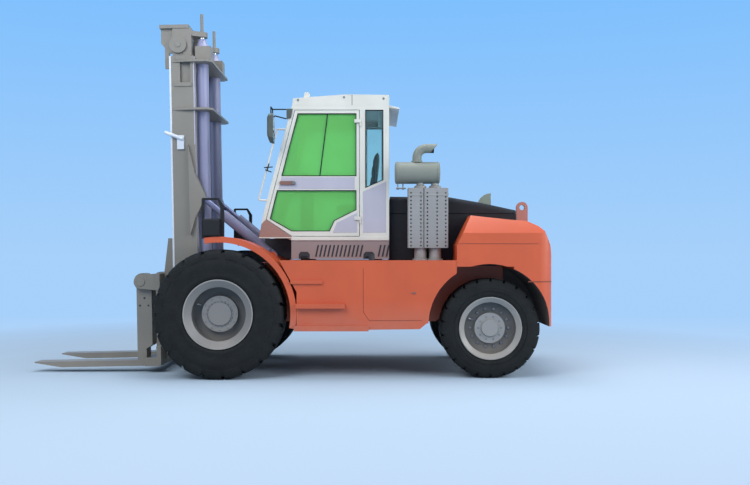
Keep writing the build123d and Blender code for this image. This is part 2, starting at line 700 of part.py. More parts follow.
# Cab shell
pillar_foot = (-287, 1905)
pillar_head = (46.5, 3177)
pillar_len = hypot(pillar_head[0] - pillar_foot[0], pillar_head[1] - pillar_foot[1])
pillar_dx = (pillar_head[0] - pillar_foot[0]) / pillar_len
pillar_dz = (pillar_head[1] - pillar_foot[1]) / pillar_len
screen_plane = Plane(
    origin=(pillar_foot[0], 0, pillar_foot[1]), x_dir=(0, -1, 0), z_dir=(-pillar_dz, 0, pillar_dx))
cab_outline = (
    (-307, 1795), pillar_foot, pillar_head, (60, ROOF_LOW), (CAB_REAR_X, ROOF_LOW), (CAB_REAR_X, CAB_FLOOR),
    (50, CAB_FLOOR),
)
cab_inside = ((-257, 1822), (94, 3161), (CAB_REAR_X - CAB_WALL, 3161), (CAB_REAR_X - CAB_WALL, CAB_SILL), (53, CAB_SILL))
door_outline = ((-246, 1850), (94, 3150), (860, 3150), (860, 1650), (60, 1650))
upper_window = ((-62, 2370), (130, 3109), (821, 3109), (821, 2370))
lower_window = ((-200, 1857), (-117, 2192), (821, 2192), (821, 1965), (560, 1835), (505, 1712), (55, 1712))
quarter_window = ((937, 2232), (937, 3150), (1142, 3150), (1142, 2322))
side_windows = (upper_window, lower_window)
SCREEN_HALF = 640
SCREEN_LOW = 70
SCREEN_HIGH = 1225
REAR_WINDOW = (600, 2350, 3120)
DOOR_GAP = 6
DOOR_T = 46
DOOR_OUT = 748
GLASS_T = 8
DOOR_HINGE_X = 872
DOOR_HINGE_OUT = 764
DOOR_HINGE_Z = (1800, 2960)
HINGE_R = 10
HINGE_PIN_R = 6
HINGE_H = 40
HINGE_GAP = 1
with BuildPart() as cab_frame:
    with BuildSketch(Plane.XZ.offset(-CAB_OUT)):
        Polygon(*cab_outline, align=None)
    extrude(amount=2 * CAB_OUT)
    with BuildSketch(Plane.XZ.offset(-CAB_OUT + CAB_WALL)):
        Polygon(*cab_inside, align=None)
    extrude(amount=2 * (CAB_OUT - CAB_WALL), mode=Mode.SUBTRACT)
    # nose cheeks, thin plates either side of the toe board
    for side in (1, -1):
        with BuildSketch(Plane.XZ.offset(side * (CAB_OUT - 17.5) - 17.5)):
            Polygon((-336, 1632), (-290, 1880), (60, 1640), (60, 1632), align=None)
        extrude(amount=35)
    # roof opening
    with BuildSketch(Plane.XY.offset(3100)):
        with Locations((640, 0)):
            RectangleRounded(900, 1240, 40)
    extrude(amount=150, mode=Mode.SUBTRACT)
    # door opening on the left
    with BuildSketch(Plane.XZ.offset(CAB_OUT - CAB_WALL - 20)):
        Polygon(*door_outline, align=None)
        offset(amount=DOOR_GAP, kind=Kind.INTERSECTION)
    extrude(amount=CAB_WALL + 40, mode=Mode.SUBTRACT)
    # windows of the right side
    for window in side_windows:
        with BuildSketch(Plane.XZ.offset(-CAB_OUT - 20)):
            Polygon(*window, align=None)
        extrude(amount=CAB_WALL + 40, mode=Mode.SUBTRACT)
    # quarter windows
    with BuildSketch(Plane.XZ.offset(-CAB_OUT - 20)):
        Polygon(*quarter_window, align=None)
    extrude(amount=2 * CAB_OUT + 40, mode=Mode.SUBTRACT)
    # screen and rear window
    with BuildSketch(screen_plane.offset(20)):
        with Locations((0, (SCREEN_LOW + SCREEN_HIGH) / 2)):
            RectangleRounded(2 * SCREEN_HALF, SCREEN_HIGH - SCREEN_LOW, 40)
    extrude(amount=-100, mode=Mode.SUBTRACT)
    with BuildSketch(Plane.YZ.offset(CAB_REAR_X - CAB_WALL - 20)):
        with Locations((0, (REAR_WINDOW[1] + REAR_WINDOW[2]) / 2)):
            RectangleRounded(2 * REAR_WINDOW[0], REAR_WINDOW[2] - REAR_WINDOW[1], 40)
    extrude(amount=CAB_WALL + 40, mode=Mode.SUBTRACT)
    # fixed halves of the door hinges, with their pins
    for hinge_z in DOOR_HINGE_Z:
        with BuildSketch(Plane.XY.offset(hinge_z)):
            with Locations((DOOR_HINGE_X, -DOOR_HINGE_OUT)):
                Circle(HINGE_R)
            with Locations((DOOR_HINGE_X, 4 - (DOOR_HINGE_OUT + CAB_OUT) / 2)):
                Rectangle(2 * HINGE_R, DOOR_HINGE_OUT - CAB_OUT + 8)
        extrude(amount=HINGE_H)
        with BuildSketch(Plane.XY.offset(hinge_z)):
            with Locations((DOOR_HINGE_X, -DOOR_HINGE_OUT)):
                Circle(HINGE_PIN_R)
        extrude(amount=2 * HINGE_H + HINGE_GAP)

# Cab glass
with BuildPart() as cab_glass:
    with BuildSketch(screen_plane.offset(-15)):
        with Locations((0, (SCREEN_LOW + SCREEN_HIGH) / 2)):
            RectangleRounded(2 * SCREEN_HALF, SCREEN_HIGH - SCREEN_LOW, 40)
    extrude(amount=-GLASS_T)
    with BuildSketch(Plane.YZ.offset(CAB_REAR_X - 30)):
        with Locations((0, (REAR_WINDOW[1] + REAR_WINDOW[2]) / 2)):
            RectangleRounded(2 * REAR_WINDOW[0], REAR_WINDOW[2] - REAR_WINDOW[1], 40)
    extrude(amount=GLASS_T)
    for window in side_windows:
        with BuildSketch(Plane.XZ.offset(-CAB_OUT + 20)):
            Polygon(*window, align=None)
        extrude(amount=GLASS_T)
    for start in (-CAB_OUT + 20, CAB_OUT - 20 - GLASS_T):
        with BuildSketch(Plane.XZ.offset(start)):
            Polygon(*quarter_window, align=None)
        extrude(amount=GLASS_T)

# Cab door and its glass
with BuildPart() as cab_door:
    with BuildSketch(Plane.XZ.offset(DOOR_OUT - DOOR_T)):
        Polygon(*door_outline, align=None)
        for window in side_windows:
            Polygon(*window, align=None, mode=Mode.SUBTRACT)
    extrude(amount=DOOR_T)
    # handle
    with BuildSketch(Plane.XZ.offset(DOOR_OUT)):
        with Locations((5, 2282)):
            RectangleRounded(190, 45, 20)
    extrude(amount=22)
    # hinge leaves
    for hinge_z in DOOR_HINGE_Z:
        with BuildSketch(Plane.XY.offset(hinge_z + HINGE_H + HINGE_GAP)):
            Polygon(
                (DOOR_HINGE_X - 70, 2 - DOOR_OUT), (DOOR_HINGE_X - 70, -8 - DOOR_OUT),
                (DOOR_HINGE_X - 22, -DOOR_HINGE_OUT - HINGE_R), (DOOR_HINGE_X, -DOOR_HINGE_OUT - HINGE_R),
                (DOOR_HINGE_X, 2 - DOOR_HINGE_OUT + DOOR_GAP), (DOOR_HINGE_X - 16, 2 - DOOR_HINGE_OUT + DOOR_GAP),
                (DOOR_HINGE_X - 22, 2 - DOOR_OUT),
                align=None,
            )
            with Locations((DOOR_HINGE_X, -DOOR_HINGE_OUT)):
                Circle(HINGE_R)
                Circle(HINGE_PIN_R + RUN_GAP, mode=Mode.SUBTRACT)
        extrude(amount=HINGE_H)

with BuildPart() as door_glass:
    for window in side_windows:
        with BuildSketch(Plane.XZ.offset(DOOR_OUT - DOOR_T / 2 - GLASS_T / 2)):
            Polygon(*window, align=None)
        extrude(amount=GLASS_T)

# Cab roof
with BuildPart() as cab_roof:
    with BuildSketch(Plane.XZ.offset(-CAB_OUT)):
        Polygon(
            (60, ROOF_LOW), (71, 3293), (702, 3340), (CAB_REAR_X, 3334), (CAB_REAR_X, ROOF_LOW),
            align=None,
        )
    extrude(amount=2 * CAB_OUT)

# Cab skirt on the deck
SKIRT_LOW = FRAME_TOP + DECK_T
SKIRT_T = 30
with BuildPart() as cab_skirt:
    with BuildSketch(Plane.XY.offset(SKIRT_LOW + 46)):
        with Locations(((CAB_REAR_X + 50) / 2, 0)):
            Rectangle(CAB_REAR_X - 50, 2 * (CAB_OUT - 6))
            Rectangle(CAB_REAR_X - 50 - 2 * SKIRT_T, 2 * (CAB_OUT - 6 - SKIRT_T), mode=Mode.SUBTRACT)
    extrude(amount=CAB_FLOOR - SKIRT_LOW - 46)
    # rubber feet
    with BuildSketch(Plane.XY.offset(SKIRT_LOW)):
        with Locations((200, -560), (200, 560), (1080, -560), (1080, 560)):
            Circle(55)
    extrude(amount=80)
    with BuildSketch(Plane.XY.offset(SKIRT_LOW + 80)):
        with Locations((200, 0), (1080, 0)):
            Rectangle(130, 2 * (CAB_OUT - 6 - SKIRT_T) + 2)
    extrude(amount=40)

# Seat
with BuildPart() as seat:
    with BuildSketch(Plane.XY.offset(CAB_SILL)):
        with Locations((830, 0)):
            RectangleRounded(360, 380, 40)
    extrude(amount=300)
    with BuildSketch(Plane.XY.offset(CAB_SILL + 300)):
        with Locations((800, 0)):
            RectangleRounded(500, 520, 70)
    extrude(amount=130)
    with BuildSketch(Plane.XZ.offset(-250)):
        Polygon((950, 2060), (1050, 2060), (1130, 2700), (1050, 2720), align=None)
    extrude(amount=500)

# Steering column and wheel
with BuildPart() as steering_column:
    with BuildSketch(Plane.XY.offset(CAB_SILL)):
        with Locations((180, 0)):
            RectangleRounded(160, 200, 30)
    extrude(amount=620)
    wheel_plane = Plane(origin=(250, 0, 2380), x_dir=(0, -1, 0), z_dir=(0.5, 0, 0.866))
    with BuildSketch(wheel_plane.offset(-190)):
        Circle(32)
    extrude(amount=190)
    with BuildSketch(wheel_plane):
        Circle(200)
        Circle(168, mode=Mode.SUBTRACT)
        Rectangle(360, 40)
    extrude(amount=28)

# Mirrors
MIRROR_OUT = 900
with BuildPart() as mirrors:
    with BuildSketch(Plane.YZ.offset(-209)):
        with Locations((-MIRROR_OUT - 20, 2903)):
            RectangleRounded(190, 336, 60)
    extrude(amount=74)
    with BuildSketch(Plane.XZ.offset(CAB_OUT)):
        Polygon((-190, 3180), (60, 3150), (52, 3070), (-30, 3070), (-190, 3120), align=None)
    extrude(amount=20)
    with BuildSketch(Plane.YZ.offset(-190)):
        Polygon(
            (-CAB_OUT, 3120), (-CAB_OUT, 3170), (-MIRROR_OUT - 40, 3120), (-MIRROR_OUT - 40, 3040),
            (-MIRROR_OUT, 3040), align=None)
    extrude(amount=24)
    mirror(about=Plane.XZ)

# Grab rails beside the screen
RAIL_R = 11
with BuildPart() as grab_rails:
    with BuildLine() as rail_path:
        FilletPolyline(
            (-18, -735, 2925), (-120, -735, 2925), (-330, -735, 2125), (-345, -735, 2082), (-240, -735, 2075),
            radius=18,
        )
    with BuildSketch(Plane(origin=(-18, -735, 2925), z_dir=(-1, 0, 0))):
        Circle(RAIL_R)
    sweep(path=rail_path.line)
    mirror(about=Plane.XZ)
    add(cab_frame.part, mode=Mode.SUBTRACT)

# Headlamps in their guard hoops on the front fenders
HOOP_OUT = 1085
HOOP_X = (-945, -691)
HOOP_TOP = 2081
fender_top = FRONT_TYRE_R + FENDER_R
with BuildPart() as headlamps:
    with BuildSketch(Plane.XZ.offset(HOOP_OUT - 25)):
        Polygon(
            (HOOP_X[0], HOOP_TOP - 10), (HOOP_X[0] + 20, HOOP_TOP), (HOOP_X[1] - 60, HOOP_TOP),
            (HOOP_X[1], HOOP_TOP - 90), (HOOP_X[1], fender_top - 60), (HOOP_X[0], fender_top - 60),
            align=None,
        )
        Polygon(
            (HOOP_X[0] + 24, HOOP_TOP - 24), (HOOP_X[1] - 74, HOOP_TOP - 24),
            (HOOP_X[1] - 40, HOOP_TOP - 96), (HOOP_X[1] - 40, fender_top + 20),
            (HOOP_X[0] + 24, fender_top + 20), align=None, mode=Mode.SUBTRACT,
        )
    extrude(amount=50)
    with BuildSketch(Plane.YZ.offset(HOOP_X[0] + 32)):
        with Locations((-HOOP_OUT, 1738)):
            RectangleRounded(180, 206, 25)
    extrude(amount=HOOP_X[1] - HOOP_X[0] - 32 - 40)
    with BuildSketch(Plane.XZ.offset(HOOP_OUT - 40)):
        with Locations((FRONT_AXLE_X, FRONT_TYRE_R)):
            Circle(FENDER_R)
    extrude(amount=80, mode=Mode.SUBTRACT)
    mirror(about=Plane.XZ)

# Outer mast, upright
flange_in = MAST_OUT - MAST_FLANGE_W
web_in = MAST_OUT - MAST_WEB
CROSS_T = 30
TIE_TOP = 520
LUG_R = 75
CHAIN_OUT = 200
with BuildPart() as outer_mast:
    with BuildSketch(Plane.XY.offset(MAST_BOTTOM)):
        Polygon(
            (MAST_FRONT_X, -MAST_OUT), (MAST_REAR_X, -MAST_OUT), (MAST_REAR_X, -flange_in),
            (MAST_REAR_X - MAST_FLANGE, -flange_in), (MAST_REAR_X - MAST_FLANGE, -web_in),
            (MAST_FRONT_X + MAST_FLANGE, -web_in), (MAST_FRONT_X + MAST_FLANGE, -flange_in),
            (MAST_FRONT_X, -flange_in),
            align=None,
        )
    extrude(amount=MAST_TOP - MAST_BOTTOM)
    # window high in the web
    with BuildSketch(Plane.XZ.offset(web_in - 5)):
        with Locations((-1202, 3665)):
            Rectangle(124, 270)
    extrude(amount=MAST_WEB + 10, mode=Mode.SUBTRACT)
    # pivot lug
    with BuildSketch(Plane.XZ.offset(TILT_LUG_IN)):
        with BuildLine():
            Polyline((MAST_REAR_X - 5, TILT_Z + 190), (MAST_REAR_X - 5, TILT_Z - 190),
                     (TILT_X, TILT_Z - LUG_R), (TILT_X, TILT_Z + LUG_R), close=True)
        make_face()
        with Locations((TILT_X, TILT_Z)):
            Circle(LUG_R)
            Circle(TILT_PIN_R + RUN_GAP, mode=Mode.SUBTRACT)
    extrude(amount=TILT_LUG_OUT - TILT_LUG_IN)
    # tilt cylinder clevis, two gusset plates and a spacer
    inner_gusset = (
        (MAST_REAR_X - 5, 2420), (EYE_PIN_X + 52, EYE_PIN_Z + 20), (EYE_PIN_X + 52, EYE_PIN_Z - 20),
        (MAST_REAR_X - 5, 1880),
    )
    outer_gusset = ((-1175, 2768),) + inner_gusset + ((-1165, 1671),)
    clevis_gap = EYE_W / 2 + 3
    gusset_plates = (
        (EYE_OUT - clevis_gap - CLEVIS_T, inner_gusset), (EYE_OUT + clevis_gap, outer_gusset))
    for plate_out, gusset in gusset_plates:
        with BuildSketch(Plane.XZ.offset(plate_out)):
            Polygon(*gusset, align=None)
            with Locations((EYE_PIN_X, EYE_PIN_Z)):
                Circle(55)
        extrude(amount=CLEVIS_T)
    with BuildSketch(Plane.XZ.offset(MAST_OUT)):
        Polygon((-1175, 2768), (-1110, 2466), (-1110, 1846), (-1165, 1671), align=None)
    extrude(amount=clevis_gap)
    with BuildSketch(Plane.XZ.offset(EYE_OUT - clevis_gap - CLEVIS_T)):
        with Locations((EYE_PIN_X, EYE_PIN_Z)):
            Circle(EYE_PIN_R)
    extrude(amount=2 * (clevis_gap + CLEVIS_T))
    mirror(about=Plane.XZ)
    # lower tie and the cylinder seats
    with BuildSketch(Plane.XY.offset(MAST_BOTTOM)):
        with Locations((MAST_REAR_X + CROSS_T / 2, 0)):
            Rectangle(CROSS_T, 2 * CYL_OUT - 2 * CYL_R - 10)
    extrude(amount=TIE_TOP - MAST_BOTTOM)
    with BuildSketch(Plane.XY.offset(MAST_BOTTOM)):
        with Locations((MAST_REAR_X + 72, -CYL_OUT - 35), (MAST_REAR_X + 72, CYL_OUT + 35)):
            Rectangle(154, 250)
    extrude(amount=CYL_BOTTOM - MAST_BOTTOM)
    # chain anchors on the tie
    with BuildSketch(Plane.XY.offset(TIE_TOP - 80)):
        with Locations((MAST_REAR_X, -CHAIN_OUT), (MAST_REAR_X, CHAIN_OUT)):
            Rectangle(60, 60)
    extrude(amount=80)
    # collars that tie the rails and hold the cylinders
    for collar_z in COLLAR_Z:
        with BuildSketch(Plane.XY.offset(collar_z)):
            Polygon(
                (MAST_FRONT_X + 20, MAST_OUT), (MAST_REAR_X - 90, COLLAR_OUT), (COLLAR_REAR_X - 60, COLLAR_OUT),
                (COLLAR_REAR_X, COLLAR_OUT - 60), (COLLAR_REAR_X, -COLLAR_OUT + 60),
                (COLLAR_REAR_X - 60, -COLLAR_OUT), (MAST_REAR_X - 90, -COLLAR_OUT),
                (MAST_FRONT_X + 20, -MAST_OUT), (MAST_REAR_X, -MAST_OUT), (MAST_REAR_X, -330),
                (MAST_REAR_X + 15, -330), (MAST_REAR_X + 15, 330), (MAST_REAR_X, 330), (MAST_REAR_X, MAST_OUT),
                align=None,
            )
            with Locations((CYL_X, -CYL_OUT), (CYL_X, CYL_OUT)):
                Circle(CYL_R + 0.3, mode=Mode.SUBTRACT)
        extrude(amount=COLLAR_T)
    # clamp blocks
    clamp_low = COLLAR_Z[1] + COLLAR_T
    with BuildSketch(Plane.XY.offset(clamp_low)):
        for side in (1, -1):
            with Locations((-1000, side * CYL_OUT)):
                Rectangle(190, 176)
            with Locations((CYL_X, side * CYL_OUT)):
                Circle(CYL_R + 0.3, mode=Mode.SUBTRACT)
    extrude(amount=3986 - clamp_low)

# Lift cylinders
with BuildPart() as lift_cylinders:
    for side in (1, -1):
        with BuildSketch(Plane.XZ.offset(side * CYL_OUT)):
            with BuildLine():
                Polyline(
                    (CYL_X, CYL_BOTTOM), (CYL_X + CYL_R, CYL_BOTTOM), (CYL_X + CYL_R, CYL_TOP),
                    (CYL_X + GLAND_TOP_R, GLAND_TOP), (CYL_X + LIFT_ROD_R + ROD_GAP, GLAND_TOP),
                    (CYL_X + LIFT_ROD_R + ROD_GAP, CYL_TOP - 60), (CYL_X + CYL_BORE_R, CYL_TOP - 60),
                    (CYL_X + CYL_BORE_R, CYL_BOTTOM + 40), (CYL_X, CYL_BOTTOM + 40), close=True,
                )
            make_face()
        revolve(axis=Axis((CYL_X, -side * CYL_OUT, 0), (0, 0, 1)))

# Inner mast, upright
inner_out = web_in - INNER_GAP_Y
inner_front = MAST_FRONT_X + MAST_FLANGE + INNER_GAP_X
inner_rear = MAST_REAR_X - MAST_FLANGE - INNER_GAP_X
inner_in = inner_out - INNER_FLANGE_W
inner_web_in = inner_out - INNER_WEB
SHEAVE_R = 113
CHAIN_T = 24
CHAIN_W = 44
SHEAVE_X = (MAST_FRONT_X + MAST_REAR_X) / 2 + 10
SHEAVE_Z = 3988
CAP_Z = 4240
with BuildPart() as inner_mast:
    with BuildSketch(Plane.XY.offset(INNER_BOTTOM)):
        Polygon(
            (inner_front, -inner_out), (inner_rear, -inner_out), (inner_rear, -inner_in),
            (inner_rear - INNER_FLANGE, -inner_in), (inner_rear - INNER_FLANGE, -inner_web_in),
            (inner_front + INNER_FLANGE, -inner_web_in), (inner_front + INNER_FLANGE, -inner_in),
            (inner_front, -inner_in),
            align=None,
        )
    extrude(amount=INNER_TOP - INNER_BOTTOM)
    # cheek plates of the crosshead
    with BuildSketch(Plane.XZ.offset(inner_out - 50)):
        Polygon(
            (-1502, INNER_TOP), (-1502, 4020), (-1458, 3965), (-1458, 3710), (-1402, 3710), (-1402, 3900),
            (-1181, 3900), (-1181, INNER_TOP),
            align=None,
        )
    extrude(amount=25)
    # rod lugs
    with BuildSketch(Plane.XY.offset(LUG_LOW)):
        with BuildLine():
            Polyline((inner_rear - 10, -inner_out), (CYL_X, -CYL_OUT - 68), (CYL_X, -CYL_OUT + 68),
                     (inner_rear - 10, -CYL_OUT + 68), close=True)
        make_face()
        with Locations((CYL_X, -CYL_OUT)):
            Circle(68)
    extrude(amount=LUG_HIGH - LUG_LOW)
    with BuildSketch(Plane.XY.offset(LUG_HIGH)):
        with Locations((CYL_X, -CYL_OUT)):
            Circle(STUD_R)
    extrude(amount=STUD_TOP - LUG_HIGH)
    # sheave hangers
    for hanger_out in (CHAIN_OUT - 50, CHAIN_OUT + 30):
        with BuildSketch(Plane.XZ.offset(hanger_out)):
            Polygon(
                (SHEAVE_X - 60, INNER_TOP), (SHEAVE_X - 60, SHEAVE_Z - 50), (SHEAVE_X + 60, SHEAVE_Z - 50),
                (SHEAVE_X + 60, INNER_TOP), align=None)
        extrude(amount=20)
    mirror(about=Plane.XZ)
    # crosshead and its cap
    with BuildSketch(Plane.XY.offset(4150)):
        with Locations(((inner_front + inner_rear) / 2, 0)):
            Rectangle(inner_rear - inner_front, 2 * inner_out)
    extrude(amount=INNER_TOP - 4150)
    with BuildSketch(Plane.XY.offset(INNER_TOP)):
        with Locations(((-1515 - 1160) / 2, 0)):
            Rectangle(355, 2 * inner_out + 16)
    extrude(amount=CAP_Z - INNER_TOP)
    # cross ties behind the carriage
    for low, high in ((330, 480), (2000, 2120), (3700, 3820)):
        with BuildSketch(Plane.XY.offset(low)):
            with Locations((inner_rear - INNER_FLANGE / 2, 0)):
                Rectangle(INNER_FLANGE, 2 * inner_in + 10)
        extrude(amount=high - low)

# Lift rods
with BuildPart() as lift_rods:
    with BuildSketch(Plane.XY.offset(900)):
        with Locations((CYL_X, -CYL_OUT), (CYL_X, CYL_OUT)):
            Circle(LIFT_ROD_R)
    extrude(amount=LUG_LOW - 900)

# Chain sheaves with the chain that lies on them, and the outboard hose wheels
with BuildPart() as sheaves:
    for side in (1, -1):
        with BuildSketch(Plane.XZ.offset(side * CHAIN_OUT - CHAIN_W / 2)):
            with Locations((SHEAVE_X, SHEAVE_Z)):
                Circle(SHEAVE_R)
            with BuildLine():
                wrap = CenterArc((SHEAVE_X, SHEAVE_Z), SHEAVE_R + CHAIN_T, 0, 180)
                Line(wrap @ 1, wrap @ 0)
            make_face()
        extrude(amount=CHAIN_W)
        with BuildSketch(Plane.XZ.offset(side * CHAIN_OUT - 30)):
            with Locations((SHEAVE_X, SHEAVE_Z)):
                Circle(40)
        extrude(amount=60)
        # hose wheels on the crosshead's cheeks
        with BuildSketch(Plane.XZ.offset(side * (inner_out + 14) - 12)):
            with Locations((-1290, SHEAVE_Z + 8)):
                Circle(104)
        extrude(amount=24)
        with BuildSketch(Plane.XZ.offset(side * (inner_out + 16) - 16)):
            with Locations((-1290, SHEAVE_Z + 8)):
                Circle(34)
        extrude(amount=32)

# Chain runs
chain_off = SHEAVE_R + CHAIN_T / 2
CHAIN_BEAM = (1000, 1060)
with BuildPart() as chain_front:
    with BuildSketch(Plane.XY.offset(CHAIN_BEAM[1])):
        with Locations((SHEAVE_X - chain_off, -CHAIN_OUT), (SHEAVE_X - chain_off, CHAIN_OUT)):
            Rectangle(CHAIN_T, CHAIN_W)
    extrude(amount=SHEAVE_Z - CHAIN_BEAM[1])
with BuildPart() as chain_rear:
    with BuildSketch(Plane.XY.offset(TIE_TOP)):
        with Locations((SHEAVE_X + chain_off, -CHAIN_OUT), (SHEAVE_X + chain_off, CHAIN_OUT)):
            Rectangle(CHAIN_T, CHAIN_W)
    extrude(amount=SHEAVE_Z - TIE_TOP)

# Carriage
carriage_out = CARRIAGE_IN + CARRIAGE_T
ROLLER_X = (inner_front + inner_rear) / 2
ROLLER_R = 82
with BuildPart() as carriage:
    with BuildSketch(Plane.XZ.offset(CARRIAGE_IN)):
        Polygon(
            (CARRIAGE_FRONT_X, CARRIAGE_LOW), (CARRIAGE_REAR_X, 260), (CARRIAGE_REAR_X, 1580),
            (CARRIAGE_REAR_X - 60, CARRIAGE_TOP), (CARRIAGE_FRONT_X + 60, CARRIAGE_TOP),
            (CARRIAGE_FRONT_X, 1190), align=None)
    extrude(amount=CARRIAGE_T)
    for roller_z in (380, 1480):
        with BuildSketch(Plane.XZ.offset(carriage_out - 1)):
            with Locations((ROLLER_X, roller_z)):
                Circle(40)
        extrude(amount=20)
        with BuildSketch(Plane.XZ.offset(carriage_out + 15)):
            with Locations((ROLLER_X, roller_z)):
                Circle(ROLLER_R)
        extrude(amount=inner_web_in - carriage_out - 22)
    # shaft ears
    for ear_out in (275, 565):
        with BuildSketch(Plane.XZ.offset(ear_out)):
            with BuildLine():
                Polyline((CARRIAGE_FRONT_X - BAR_T + 5, UPPER_BAR[0]), (SHAFT_X, SHAFT_Z - 85),
                         (SHAFT_X, SHAFT_Z + 85), (CARRIAGE_FRONT_X - BAR_T + 5, UPPER_BAR[1]), close=True)
            make_face()
            with Locations((SHAFT_X, SHAFT_Z)):
                Circle(85)
        extrude(amount=45)
    mirror(about=Plane.XZ)
    # cross bars
    for low, high in (UPPER_BAR, (CARRIAGE_LOW, 330)):
        with BuildSketch(Plane.XY.offset(low)):
            with Locations((CARRIAGE_FRONT_X - BAR_T / 2 + 1, 0)):
                Rectangle(BAR_T + 2, 2 * BAR_OUT)
        extrude(amount=high - low)
    fork_back_low = FORK_FACE_X + 110
    with BuildSketch(Plane.XY.offset(LOWER_BAR[0])):
        with Locations(((fork_back_low + CARRIAGE_FRONT_X) / 2, 0)):
            Rectangle(CARRIAGE_FRONT_X - fork_back_low, 2 * BAR_OUT)
    extrude(amount=LOWER_BAR[1] - LOWER_BAR[0])
    # chain anchor beam
    with BuildSketch(Plane.XY.offset(CHAIN_BEAM[0])):
        with Locations((SHEAVE_X - chain_off, 0)):
            Rectangle(80, 2 * CARRIAGE_IN + 10)
    extrude(amount=CHAIN_BEAM[1] - CHAIN_BEAM[0])
    # fork shaft
    with BuildSketch(Plane.XZ.offset(-BAR_OUT)):
        with Locations((SHAFT_X, SHAFT_Z)):
            Circle(SHAFT_R)
    extrude(amount=2 * BAR_OUT)

# Forks
with BuildPart() as fork_left:
    with BuildSketch(Plane.XZ.offset(FORK_IN)):
        Polygon(
            (FORK_TIP_X, FORK_LOW + 60), (FORK_TIP_X + 330, FORK_LOW), (fork_back_low, FORK_LOW),
            (fork_back_low, 300), (FORK_BACK_X, 340), (FORK_BACK_X, SHAFT_Z), (FORK_FACE_X, SHAFT_Z),
            (FORK_FACE_X, FORK_LOW + FORK_T), (FORK_TIP_X, FORK_LOW + FORK_T),
            align=None,
        )
        with Locations((SHAFT_X, SHAFT_Z)):
            Circle(FORK_EYE_R)
            Circle(SHAFT_R, mode=Mode.SUBTRACT)
    extrude(amount=FORK_OUT - FORK_IN)

# Tilt cylinders
eye_x, eye_z = leaned_point(EYE_PIN_X, EYE_PIN_Z)
tilt_dx, tilt_dz = eye_x - ANCHOR_X, eye_z - ANCHOR_Z
TILT_LEN = hypot(tilt_dx, tilt_dz)
cylinder_plane = Plane(
    origin=(ANCHOR_X, -EYE_OUT, ANCHOR_Z), x_dir=(0, -1, 0), z_dir=(tilt_dx / TILT_LEN, 0, tilt_dz / TILT_LEN))
with BuildPart() as tilt_barrel_left:
    with BuildSketch(cylinder_plane):
        Circle(TILT_CYL_R)
    extrude(amount=TILT_CYL_L)
    with BuildSketch(Plane.XZ.offset(EYE_OUT - EYE_W / 2)):
        with Locations((ANCHOR_X, ANCHOR_Z)):
            Circle(TILT_EYE_R)
    extrude(amount=EYE_W)
    # slim the foot down to the eye's width
    for side in (1, -1):
        with BuildSketch(cylinder_plane.offset(-70)):
            with Locations((side * (EYE_W / 2 + 50), 0)):
                Rectangle(100, 160)
        extrude(amount=140, mode=Mode.SUBTRACT)
    with BuildSketch(cylinder_plane.offset(80)):
        Circle(TILT_BORE_R)
    extrude(amount=TILT_CYL_L - 80 - 40, mode=Mode.SUBTRACT)
    with BuildSketch(cylinder_plane.offset(80)):
        Circle(TILT_ROD_R + ROD_GAP)
    extrude(amount=TILT_CYL_L, mode=Mode.SUBTRACT)
    with BuildSketch(Plane.XZ.offset(EYE_OUT - EYE_W)):
        with Locations((ANCHOR_X, ANCHOR_Z)):
            Circle(EYE_PIN_R + RUN_GAP)
    extrude(amount=2 * EYE_W, mode=Mode.SUBTRACT)

with BuildPart() as tilt_rod_left:
    with BuildSketch(cylinder_plane.offset(TILT_LEN - TILT_ROD_L)):
        Circle(TILT_ROD_R)
    extrude(amount=TILT_ROD_L - 10)
    with BuildSketch(Plane.XZ.offset(EYE_OUT - EYE_W / 2)):
        with Locations((eye_x, eye_z)):
            Circle(EYE_R)
    extrude(amount=EYE_W)
    for side in (1, -1):
        with BuildSketch(cylinder_plane.offset(TILT_LEN - 85)):
            with Locations((side * (EYE_W / 2 + 50), 0)):
                Rectangle(100, 160)
        extrude(amount=170, mode=Mode.SUBTRACT)
    with BuildSketch(Plane.XZ.offset(EYE_OUT - EYE_W)):
        with Locations((eye_x, eye_z)):
            Circle(EYE_PIN_R + EYE_SLACK)
    extrude(amount=2 * EYE_W, mode=Mode.SUBTRACT)

# Files, one for each piece
save(tyre_front_left, "tyre_front_left")
save(mirrored(tyre_front_left), "tyre_front_right")
save(rim_front_left, "rim_front_left")
save(mirrored(rim_front_left), "rim_front_right")
save(tyre_rear_left, "tyre_rear_left")
save(mirrored(tyre_rear_left), "tyre_rear_right")
save(rim_rear_left, "rim_rear_left")
save(mirrored(rim_rear_left), "rim_rear_right")
save(knuckle_left, "knuckle_left")
save(mirrored(knuckle_left), "knuckle_right")
save(side_box_left, "side_box_left")
save(mirrored(side_box_left), "side_box_right")
save(tilt_barrel_left, "tilt_barrel_left")
save(mirrored(tilt_barrel_left), "tilt_barrel_right")
save(tilt_rod_left, "tilt_rod_left")
save(mirrored(tilt_rod_left), "tilt_rod_right")
save_leaned(fork_left, "fork_left")
save_leaned(mirrored(fork_left), "fork_right")
upright_pieces = {
    "outer_mast": outer_mast, "lift_cylinders": lift_cylinders, "inner_mast": inner_mast,
    "lift_rods": lift_rods, "sheaves": sheaves, "chain_front": chain_front, "chain_rear": chain_rear,
    "carriage": carriage,
}
for label, builder in upright_pieces.items():
    save_leaned(builder, label)
